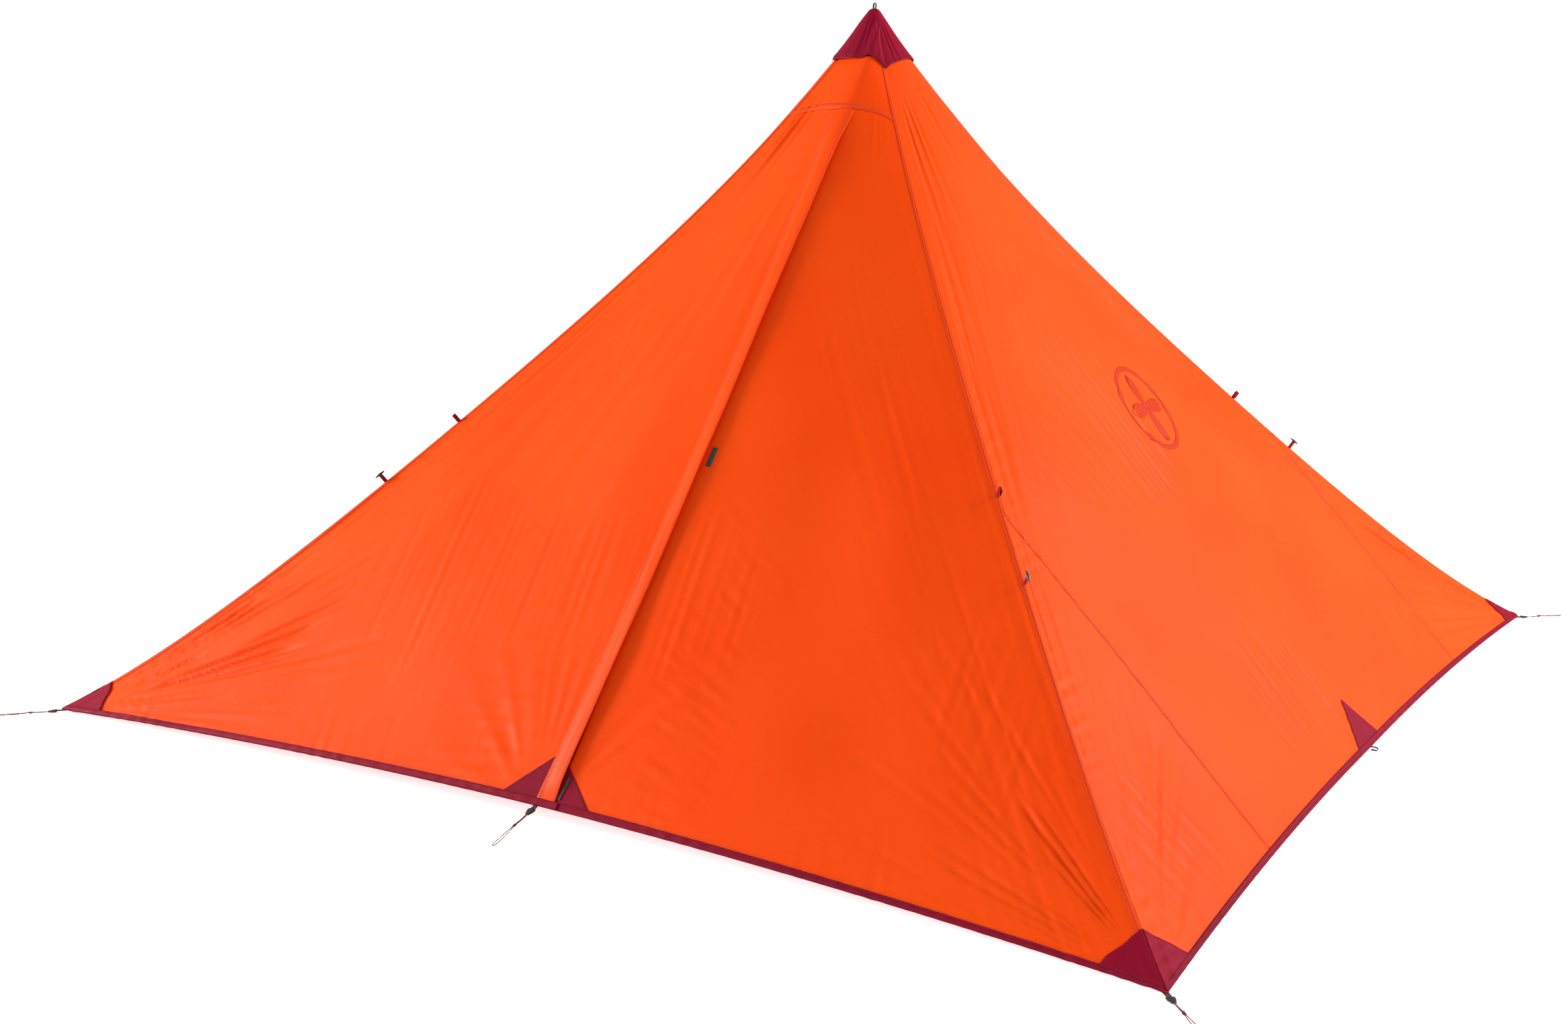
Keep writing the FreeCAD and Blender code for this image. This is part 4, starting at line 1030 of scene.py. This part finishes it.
for wall in door_wall:
    face = WALL_NAMES[wall.quarter]
    head = wall.place(np.array([0.0]), wall.level(np.array([0.0]), np.array([YOKE_SEAM - 0.001])))[1][0]
    out_row = np.linspace(head, float(wall.hem_out(0.02)) - 0.002, 240)[:, None]
    c = np.linspace(0, 1, 19)[None, :]
    left = flap_edge(out_row, FLAP_LEFT) - 0.0035
    right = flap_edge(out_row, FLAP_RIGHT)
    along = left + (right - left) * c
    down = (out_row - head) / (float(wall.hem_out(0.02)) - head)
    open_up = smooth(down * 16) * smooth((1 - down) * 22)
    bulge = 0.0016 + open_up * (0.0070 * smooth(c / 0.55) + 0.0040 * smooth((c - 0.35) / 0.65))
    wave = ripple(out_row * 17 + 1.5, 90 + wall.quarter) * 0.0016 * c * open_up
    rise = bulge + wave + 0.0012 * smooth((1 - down) * -22 + 1)
    out = out_row + 0 * c
    flap = wall_piece(f"{face}_storm_flap_cloth", wall, along, out, shell_nylon, "shell", rise, 0.0010)
    bend_with_door(flap, wall, -1)
    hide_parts(f"{face}_storm_flap")
    rows = []
    for share in (0.085, 0.19, 0.87):
        k = share * 18
        low, part = int(k), k - int(k)
        line_rise = rise[:, low] * (1 - part) + rise[:, low + 1] * part + 0.0002
        line_along = along[:, low] * (1 - part) + along[:, low + 1] * part
        rows.append(row_on(wall, line_along[2:-2], out_row[2:-2, 0], line_rise[2:-2]))
    thread = stitches(f"{face}_storm_flap_stitches", rows, plum_thread)
    bend_with_door(thread, wall, -1)


def woven_material(name, colour, dark, pitch_mm, rough=0.8):
    """Woven tape on its own UV map in metres: ribs across it, with painted shade between them."""
    material, tree = new_material(name)
    uv = add_node(tree, "ShaderNodeUVMap", {"uv_map": "cloth"})
    ribs = {"Scale": 1000 / pitch_mm / 3.2, "Distortion": 0.6, "Detail": 1.0}
    across, down = (
        add_node(
            tree,
            "ShaderNodeTexWave",
            {"bands_direction": axis, **ribs},
            {"Vector": uv.outputs[0]},
        ).outputs["Fac"]
        for axis in "XY"
    )
    weave = add_node(tree, "ShaderNodeMath", {"operation": "MULTIPLY"}, {0: across, 1: down})
    # painted shade: the tone is darker where the weave is low, in the valleys between the ribs
    tone = two_tone(tree, weave.outputs[0], to_linear(dark), to_linear(colour))
    normal = relief(tree, weave.outputs[0], 0.5, 0.0004)
    principled(
        tree,
        {"Roughness": rough, "IOR": 1.5, "Specular IOR Level": 0.1},
        {"Base Color": tone, "Normal": normal},
    )
    return material


# Hook pieces: a strip on the foot patch and a tab half way up, both on the right door half. They
# are woven nylon hook tape, sewn on, and hold the free edge of the flap down.
hook_tape = woven_material("nylon_hook_tape", "#6A6660", "#2E2B2A", 1.6, 0.9)
for wall in door_wall:
    face = WALL_NAMES[wall.quarter]
    hem_place = float(wall.hem_out(0.054))
    spots = {
        "foot": (0.0515, 0.0585, hem_place - 0.046, hem_place - 0.0135, 0.0028),
        "tab": (0.0635, 0.0765, 0.800, 0.831, 0.0012),
    }
    for label, (left, right, top, low, rise) in spots.items():
        out = np.linspace(top, low, 16)[:, None]
        c = np.linspace(0, 1, 8)[None, :]
        slant = -0.004 * np.linspace(0, 1, 16)[:, None] if label == "foot" else 0.0
        along = left + slant + (right - left) * c
        puff = 0.0006 * np.sqrt(np.clip(1 - (2 * c - 1) ** 6, 0, 1))
        name = f"{face}_right_hook_{label}"
        place = (along, out + 0 * c)
        hook = wall_piece(name, wall, *place, hook_tape, "webbing", rise + puff, 0.0010)
        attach(hook, half_body(wall, 1))

# ---------------------------------------------------------------------------------------------
# Zip: a woven tape on each door edge with a row of moulded coil teeth, and the CAD's own slider
# and inner puller. The tapes are blackened nylon.
# ---------------------------------------------------------------------------------------------
zip_tape_nylon = woven_material("nylon_zip_tape", "#7A2430", "#47161F", 1.2)
moulded_nylon, tree = new_material("moulded_black_nylon")
grain = noise(tree, add_node(tree, "ShaderNodeTexCoord").outputs["Object"], 700.0, 3.0)
tone = two_tone(tree, grain, to_linear("#1E1B1C"), to_linear("#3A3536"))
normal = relief(tree, grain, 0.25, 0.0002)
gloss = add_node(tree, "ShaderNodeMapRange", {"To Min": 0.34, "To Max": 0.52}, {"Value": grain})
principled(
    tree, {"IOR": 1.53}, {"Base Color": tone, "Roughness": gloss.outputs[0], "Normal": normal}
)


def unit(vector):
    vector = np.asarray(vector, float)
    return vector / np.linalg.norm(vector, axis=-1, keepdims=True)


TEETH_PITCH = 0.0032
TOOTH_HALF = (0.00105, 0.0012)  # along the zip and off the cloth
ZIP_SECTION = (  # millimetres from the zip's line and off its plane, round one tape
    (1.6, -0.6),
    (2.0, 0.2),
    (4.5, -2.0),
    (7.8, -2.4),
    (8.0, -2.8),
    (7.8, -3.3),
    (4.5, -3.0),
    (2.0, -1.4),
    (1.6, -1.0),
)
for wall in door_wall:
    face = WALL_NAMES[wall.quarter]
    head = np.array((ZIP_LINE, -0.209457, 1.415))
    foot = np.array((ZIP_LINE, -1.358975, 0.044907))
    way = unit(foot - head)
    length = float(np.linalg.norm(foot - head))
    up = np.cross(way, (1.0, 0.0, 0.0))
    for hand, label in SIDES:
        down = np.linspace(0.045, length - 0.024, 240)[:, None, None]
        w, n = np.array(ZIP_SECTION).T[:, None, :, None] / 1000
        points = head + way * down + np.array((hand, 0.0, 0.0)) * w + up * n
        uv = np.stack((w[..., 0] + 0 * down[..., 0], down[..., 0] + 0 * w[..., 0]), -1)
        faces = grid_faces(240, len(ZIP_SECTION), closed=True)[:, ::-hand]
        points = turned(points, wall.quarter)
        tape = new_piece(f"{face}_{label}_zip_tape", points, faces, zip_tape_nylon, uv)
        bend_with_door(tape, wall, hand)
        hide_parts(f"{face}_{label}_zip")
        spots = np.arange(0.046, length - 0.0255, TEETH_PITCH)
        spots = spots + (TEETH_PITCH / 2 if hand > 0 else 0)
        inner, outer = 0.0005, 0.0032
        tooth = []
        rings = ((inner, 0.62), (inner + 0.0008, 1.0), (outer - 0.0003, 1.0), (outer, 0.7))
        for w_place, size in rings:
            for a, b in ((-1, -1), (1, -1), (1, 1), (-1, 1)):
                tooth.append((a * TOOTH_HALF[0] * size, hand * w_place, b * TOOTH_HALF[1] * size))
        tooth = np.array(tooth)[None]
        points = head + way * (spots[:, None, None] + tooth[..., :1])
        points = points + np.array((1.0, 0, 0)) * tooth[..., 1:2] + up * tooth[..., 2:3]
        quads = [(0, 1, 2, 3), (15, 14, 13, 12)]
        for ring in range(3):
            for i in range(4):
                j = (i + 1) % 4
                quads.append((4 * ring + i, 4 * ring + 4 + i, 4 * ring + 4 + j, 4 * ring + j))
        quads = np.array(quads)
        if hand > 0:
            quads = quads[:, ::-1]
        faces = (np.arange(len(spots))[:, None, None] * 16 + quads[None]).reshape(-1, 4)
        points = turned(points, wall.quarter)
        teeth = new_piece(f"{face}_{label}_zip_teeth", points, faces, moulded_nylon)
        bend_with_door(teeth, wall, hand)
        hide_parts(f"{face}_{label}_zip")


# ---------------------------------------------------------------------------------------------
# Tapes and webbing: flat woven nylon with rounded selvedges, drawn along a path.
# ---------------------------------------------------------------------------------------------
def swept(name, path, across, half_width, half_thick, material, square=4.0, sides=20):
    """A closed bar along a path. Its section is a rounded box, the curve |x/a|^p + |y/b|^p = 1 with p
    `square`, a along `across` and b at right angles to it and to the path. Its ends are closed."""
    path = np.asarray(path, float)
    count = len(path)
    across = unit(np.broadcast_to(np.asarray(across, float), path.shape))
    along = unit(np.gradient(path, axis=0))
    lift = unit(np.cross(along, across))
    angle = np.linspace(0, 2 * math.pi, sides, endpoint=False)
    x = np.sign(np.cos(angle)) * np.abs(np.cos(angle)) ** (2 / square)
    y = np.sign(np.sin(angle)) * np.abs(np.sin(angle)) ** (2 / square)
    a = np.broadcast_to(half_width, count)[:, None, None]
    b = np.broadcast_to(half_thick, count)[:, None, None]
    points = path[:, None, :] + across[:, None, :] * a * x[None, :, None]
    points = points + lift[:, None, :] * b * y[None, :, None]
    caps = [np.broadcast_to(path[end], points[:1].shape) for end in (0, -1)]
    points = np.concatenate((caps[0], points, caps[1]))
    run = np.concatenate(([0.0], np.cumsum(np.linalg.norm(np.diff(path, axis=0), axis=1))))
    run = np.concatenate((run[:1], run, run[-1:]))
    uv = np.stack(np.broadcast_arrays(x[None, :] * np.max(half_width), run[:, None]), -1)
    faces = grid_faces(count + 2, sides, closed=True)[:, ::-1]
    return new_piece(name, points, faces, material, uv)


def rounded(points, steps=9):
    """A path through the middles of a few runs, curved like a quadratic spline between them."""
    points = np.asarray(points, float)
    middles = (points[1:] + points[:-1]) / 2
    t = np.linspace(0, 1, steps, endpoint=False)[:, None]
    bends = [
        (1 - t) ** 2 * a + 2 * t * (1 - t) * b + t * t * c
        for a, b, c in zip(middles[:-1], points[1:-1], middles[1:])
    ]
    return np.concatenate([points[:1]] + bends + [middles[-1:], points[-1:]])


red_tape = woven_material("nylon_tape_dark_red", "#A8001F", "#6A0A1A", 1.1, 0.6)
grey_web = woven_material("nylon_webbing_grey", "#6C625F", "#3A3433", 1.3, 0.7)


def ridge_height(u):
    return HEIGHT * (1 - u - ridge_drop(u)) + CORNER_LIFT * u


def ridge_axes(u):
    """(place, outwards, down the ridge) on the front right ridge."""
    step = 0.002
    here, ahead = (np.array((HALF * v, -HALF * v, ridge_height(v))) for v in (u, u + step))
    down = unit(ahead - here)
    outward = np.cross((1, 1, 0) / np.sqrt(2), down)
    return here, outward if outward[2] > 0 else -outward, down


UNDER_HEM = 0.0021  # from the cloth's outer face down to what is sewn under its hem
LOOP_SHARE = 0.52
TOGGLE_SHARE = 0.61
loop_at, loop_out, loop_down = ridge_axes(LOOP_SHARE)
bar_at, bar_out, bar_down = ridge_axes(TOGGLE_SHARE)
aside = unit(np.cross(loop_down, loop_out))
ARM = 0.0031  # from the middle of a loop's gap to the middle of its tape
TAPE_HALF = 0.0006


def loop_route(*arm):
    """Both arms of a loop, from one arm that ends in the middle of its bend."""
    return [(d, -w) for d, w in arm] + list(arm[-2::-1])


for quarter, name in enumerate(("front_right", "back_right", "back_left", "front_left")):
    # Loop: 10 mm tape folded double, its ends in the ridge seam.
    route = loop_route((0.0, ARM), (0.006, ARM), (0.013, ARM), (0.0196, ARM), (0.0208, 0.0))
    path = rounded([loop_at + loop_out * (d + 0.001) + aside * w for d, w in route])
    path, flat = turned(path, quarter), turned(loop_down, quarter)
    loop = swept(name + "_ridge_loop", path, flat, 0.0050, TAPE_HALF, red_tape)
    on_canopy(loop, "ridge_loops")
    # Toggle: a stiff bar sewn across the end of a doubled tape.
    path = [bar_at + bar_out * d for d in np.linspace(0.0006, 0.0215, 14)]
    width = np.interp(np.linspace(0, 1, 14), (0, 0.7, 1), (0.0050, 0.0050, 0.0046))
    path, flat = turned(np.array(path), quarter), turned(bar_down, quarter)
    tape = swept(name + "_toggle_tape", path, flat, width, 2 * TAPE_HALF, red_tape)
    on_canopy(tape, "toggle_tapes")
    spots = np.linspace(-1, 1, 25)
    path = np.array([bar_at + bar_out * 0.0230 + bar_down * 0.0140 * v for v in spots])
    radius = 0.0030 * (0.72 + 0.28 * np.cos(spots * math.pi))
    radius = radius * np.sqrt(np.clip(1 - np.abs(spots) ** 14, 0, 1)) + 0.0004
    path, flat = turned(path, quarter), turned(bar_out, quarter)
    bar = swept(name + "_toggle", path, flat, radius, radius, moulded_nylon, 2.4)
    on_canopy(bar, "toggles")

# Apex loop: a narrow grey tape loop that comes out of the tip of the cone and leans over.
arm = ((0.0, ARM), (0.005, ARM), (0.011, ARM * 1.1), (0.0168, ARM * 0.9), (0.0178, 0.0))
path = rounded([(w + 0.10 * d, 0.0, HEIGHT - 0.001 + d) for d, w in loop_route(*arm)])
apex_loop = swept("apex_tape_loop", path, (0.0, 1.0, 0.0), 0.0036, TAPE_HALF, grey_web)
on_canopy(apex_loop, "apex_loop")

# Wall stake loops: grey tape loops under the middle patch of each plain wall.
wall = plain_wall[0]
stake_out = float(wall.hem_out(0.0))
stake_z = wall.bare(np.array([0.0]), np.array([stake_out]))[0][0, 2] - UNDER_HEM - 0.0042
arm = ((0.0, 0.0036), (0.005, 0.0036), (0.011, 0.0036), (0.0148, 0.0028), (0.0156, 0.0))
path = rounded([(0.0, -stake_out - d, stake_z + n) for d, n in loop_route(*arm)])
for wall in plain_wall:
    route, flat = turned(path, wall.quarter), turned(np.array((1.0, 0, 0)), wall.quarter)
    name = WALL_NAMES[wall.quarter] + "_stake_loop"
    loop = swept(name, route, flat, 0.0050, TAPE_HALF, grey_web)
    on_canopy(loop, "wall_stake_loops")

# ---------------------------------------------------------------------------------------------
# Stake fastenings, at the four corners and at the foot of each door: webbing sewn under the hem,
# a moulded ladder tensioner, and a doubled cord that is knotted a third of the way along.
# ---------------------------------------------------------------------------------------------
CORD = 0.002
CORNER_SLOPE = 2.8  # degrees that a fastening falls towards its stake
FOOT_SLOPE = 17.0
LOOP_ROUTE = (  # millimetres out from the hem, across and up
    (31.0, -1.4, 0.0),
    (44.0, -1.4, 0.0),
    (57.0, -1.2, 1.2),
    (69.0, -1.25, 2.1),
    (81.0, -1.7, 2.2),
    (94.0, -2.7, 2.1),
    (107.0, -3.4, 2.4),
    (119.0, -3.7, 3.0),
    (130.0, -3.6, 3.5),
    (138.0, -3.2, 3.8),
    (143.0, -1.6, 4.0),
    (143.2, 1.7, 4.1),
    (138.2, 3.3, 3.9),
    (130.0, 3.8, 3.6),
    (119.0, 3.9, 3.1),
    (107.0, 3.5, 2.5),
    (94.0, 2.6, 2.2),
    (81.0, 1.6, 2.3),
    (69.0, 1.25, 2.1),
    (57.0, 1.3, 1.1),
    (44.0, 1.4, 0.0),
    (31.0, 1.4, 0.0),
)
cord_polyester, tree = new_material("braided_polyester_cord")
place = add_node(tree, "ShaderNodeTexCoord").outputs["Object"]
fleck = add_node(
    tree, "ShaderNodeTexVoronoi", {"Scale": 420.0, "Randomness": 1.0}, {"Vector": place}
)
white = add_node(
    tree,
    "ShaderNodeMapRange",
    {"From Min": 0.84, "From Max": 0.87},
    {"Value": fleck.outputs["Color"]},
)
tone = two_tone(tree, white.outputs[0], to_linear("#6A101C"), to_linear("#E8DCD8"))
strands = add_node(
    tree,
    "ShaderNodeTexWave",
    {"bands_direction": "DIAGONAL", "Scale": 260.0, "Distortion": 1.5},
    {"Vector": place},
)
normal = relief(tree, strands.outputs["Fac"], 0.5, 0.0003)
principled(tree, {"Roughness": 0.7, "IOR": 1.5}, {"Base Color": tone, "Normal": normal})


def fastening(name, quarter, ground, outward, slope, root, nodes_for, sway):
    """Webbing, tensioner, knot and cord of one fastening. `ground` is the underside of the hem, and
    d, w, n run out along the webbing, across it and up."""
    slope = math.radians(slope)
    flat_out = np.array(outward)
    d = flat_out * math.cos(slope) - np.array((0, 0, 1)) * math.sin(slope)
    up = unit(np.array((0, 0, 1)) * math.cos(slope) + flat_out * math.sin(slope))
    w = np.cross(up, d)
    n = np.cross(d, w)
    origin = np.array(ground) - up * TAPE_HALF

    def put(place):
        return origin + d * place[0] + w * place[1] + n * place[2]

    strap_node, tensioner_node, knot_node, cord_node = nodes_for
    # webbing: from under the hem, out through the tensioner's slot and back under itself
    way_in = unit(np.array(root) - np.array(ground))
    path = [np.array(root) - up * TAPE_HALF, np.array(ground) + way_in * 0.012 - up * TAPE_HALF]
    path += [put((0.0, 0, 0)), put((0.008, 0, 0)), put((0.0145, 0, 0))]
    path, flat = turned(rounded(path), quarter), turned(w, quarter)
    strap = swept(name + "_strap", path, flat, 0.0060, TAPE_HALF, grey_web)
    on_canopy(strap, strap_node)
    # tensioner: broad at the webbing and narrow at the cord, with grip bars moulded across it
    s = np.linspace(0, 1, 41)
    spots = 0.0110 + 0.0200 * s
    width = np.interp(s, (0.0, 0.05, 0.38, 0.95, 1.0), (0.0080, 0.0090, 0.0090, 0.0046, 0.0038))
    thick = np.interp(s, (0.0, 0.06, 0.6, 0.95, 1.0), (0.0018, 0.0025, 0.0023, 0.0020, 0.0012))
    thick = thick - 0.0006 * smooth(np.sin(s * 7 * math.pi) * 2) * smooth(s * 8) * smooth((1 - s) * 8)
    path = turned(np.array([put((spot, 0, 0)) for spot in spots]), quarter)
    grip = swept(
        name + "_tensioner", path, flat, width, thick, moulded_nylon, 3.2, 36
    )
    on_canopy(grip, tensioner_node)
    # knot: the doubled cord turned twice round itself
    start = LOOP_ROUTE[0][0]
    span = LOOP_ROUTE[10][0] - start
    shift = sway * ((69.0 - start) / span) ** 2
    turn = np.linspace(0, 1, 90)
    angle = turn * 2.4 * 2 * math.pi
    ring = 2.15 + 0.25 * np.sin(angle * 0.5)
    coil = (64.9 + 8.2 * turn, shift + ring * np.cos(angle), 2.1 + ring * np.sin(angle))
    path = turned(np.array([put(v) for v in np.stack(coil, -1) / 1000]), quarter)
    thick = 0.00105
    knot = swept(
        name + "_cord_knot", path, turned(d, quarter), thick, thick, cord_polyester, 2.0, 12
    )
    on_canopy(knot, knot_node)
    # cord: out of the tensioner, round the open loop and back into it
    route = [(a, b + sway * ((a - start) / span) ** 2, c) for a, b, c in LOOP_ROUTE]
    route = turned(np.array([put(np.array(point) / 1000) for point in route]), quarter)
    curve = bpy.data.curves.new(name + "_cord", "CURVE")
    curve.dimensions = "3D"
    line = curve.splines.new("NURBS")
    line.points.add(len(route) - 1)
    for point, at in zip(line.points, route.tolist()):
        point.co = (*at, 1.0)
    line.order_u = 3
    line.use_endpoint_u = True
    line.resolution_u = 6
    curve.bevel_depth = CORD / 2
    curve.bevel_resolution = 4
    curve.use_fill_caps = True
    curve.materials.append(cord_polyester)
    cord = bpy.data.objects.new(name + "_cord_loop", curve)
    scene.collection.objects.link(cord)
    on_canopy(cord, cord_node)


ROOT_IN = 0.026  # the webbing is sewn under the hem this far in
corner_ground = (HALF, -HALF, CORNER_LIFT - UNDER_HEM)
reach_in = ROOT_IN / math.sqrt(2)
corner_root = (HALF - reach_in, -HALF + reach_in, CORNER_LIFT - UNDER_HEM)
corner_nodes = ("corner_straps", "corner_tensioners", "corner_knots")
sways = (("front_right", 2.0), ("back_right", -1.5), ("back_left", 1.0), ("front_left", -2.5))
for quarter, (name, sway) in enumerate(sways):
    outward = (1 / math.sqrt(2), -1 / math.sqrt(2), 0.0)
    names = (*corner_nodes, name + "_cord")
    fastening(name, quarter, corner_ground, outward, CORNER_SLOPE, corner_root, names, sway)

hem_place = float(door_wall[0].hem_out(0.0))
foot_places = []
for out in (hem_place, hem_place - ROOT_IN):
    height = door_wall[0].bare(np.array([0.0]), np.array([out]))[0][0, 2]
    foot_places.append((0.0, -out, float(height) - UNDER_HEM))
foot_ground, foot_root = foot_places
outward = (0.0, -1.0, 0.0)
for quarter, face in ((FRONT, "front"), (BACK, "back")):
    names = tuple(f"{face}_foot_{part}" for part in ("strap", "tensioner", "knot", "cord"))
    fastening(face + "_foot", quarter, foot_ground, outward, FOOT_SLOPE, foot_root, names, 1.0)

# ---------------------------------------------------------------------------------------------
# Printed mark: a four-pointed star in a ring, screen-printed on the right wall in a darker ink.
# ---------------------------------------------------------------------------------------------
print_ink = cloth_material(
    "screen_print_ink", "#B83008", "#AE2A06", "#B02604", 0.16, 0.5, RIPSTOP_MM, 0.00008, 0.4
)
wall = plain_wall[0]
MARK_AT = (0.02, 0.755)
MARK_RADIUS = 0.105
MARK_ANGLES = np.linspace(0, 2 * math.pi, 160, endpoint=False)


def printed(name, inner, outer):
    """A flat figure between two radii round MARK_AT, which may change with the angle."""
    radius = inner + (outer - inner + 0 * MARK_ANGLES) * np.linspace(0, 1, 7)[:, None]
    along = MARK_AT[0] + radius * np.sin(MARK_ANGLES)
    out = MARK_AT[1] - radius * np.cos(MARK_ANGLES) * 0.72
    points = wall.skin(along, out, 0.0006)
    faces = grid_faces(7, len(MARK_ANGLES), closed=True)[:, ::-1]
    uv = cloth_uv(wall, along, out)
    on_canopy(new_piece(name, points, faces, print_ink, uv, 0.0002))


printed("right_wall_mark_ring", 0.88 * MARK_RADIUS, MARK_RADIUS)
star = MARK_RADIUS * 0.80 * (0.20 + 0.80 * np.abs(np.cos(2 * MARK_ANGLES)) ** 2.5)
printed("right_wall_mark_star", 0.0005, star)

# ---------------------------------------------------------------------------------------------
# Pole and hard parts: the CAD's own shapes, in drawn and brushed aluminium, turned steel, cast
# zinc, moulded nylon and rubber.
# ---------------------------------------------------------------------------------------------


def metal_material(name, colour, dark, rough, stretch):
    """Bare metal, brushed along Z: fine scratches on Object coordinates, and a few darker rubs."""
    material, tree = new_material(name)
    place = add_node(tree, "ShaderNodeTexCoord").outputs["Object"]
    lines = add_node(tree, "ShaderNodeMapping", {"Scale": (1.0, 1.0, stretch)}, {"Vector": place})
    scratch = noise(tree, lines.outputs[0], 900.0, 4.0)
    tone = two_tone(tree, noise(tree, place, 22.0, 3.0), to_linear(dark), to_linear(colour))
    gloss = add_node(
        tree,
        "ShaderNodeMapRange",
        {"To Min": rough - 0.08, "To Max": rough + 0.10},
        {"Value": scratch},
    )
    normal = relief(tree, scratch, 0.15, 0.0001)
    surface = {"Base Color": tone, "Roughness": gloss.outputs[0], "Normal": normal}
    principled(tree, {"Metallic": 1.0}, surface)
    return material


tube_alloy = metal_material("brushed_aluminium", "#B9BCC0", "#8E9196", 0.34, 0.03)
turned_steel = metal_material("turned_steel", "#A6A6A8", "#77777A", 0.28, 1.0)
cast_zinc = metal_material("cast_zinc", "#5C5A5C", "#3E3C3E", 0.40, 1.0)
foot_rubber, tree = new_material("moulded_rubber")
grain = noise(tree, add_node(tree, "ShaderNodeTexCoord").outputs["Object"], 380.0, 4.0)
tone = two_tone(tree, grain, to_linear("#161516"), to_linear("#2C2A2A"))
normal = relief(tree, grain, 0.4, 0.0004)
principled(tree, {"Roughness": 0.82, "IOR": 1.52}, {"Base Color": tone, "Normal": normal})
finishes = {
    "pole_lower_tube": tube_alloy,
    "pole_upper_tube": tube_alloy,
    "pole_lever_pin": turned_steel,
    "pole_foot": foot_rubber,
    "pole_clamp": moulded_nylon,
    "pole_lever": moulded_nylon,
    "pole_tip": moulded_nylon,
    "apex_cup": moulded_nylon,
}
for face in ("front", "back"):
    finishes[face + "_zip_slider"] = cast_zinc
    finishes[face + "_zip_puller"] = cast_zinc
for name, finish in finishes.items():
    mesh = nodes[name].data
    mesh.materials.clear()
    mesh.materials.append(finish)

low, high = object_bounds()
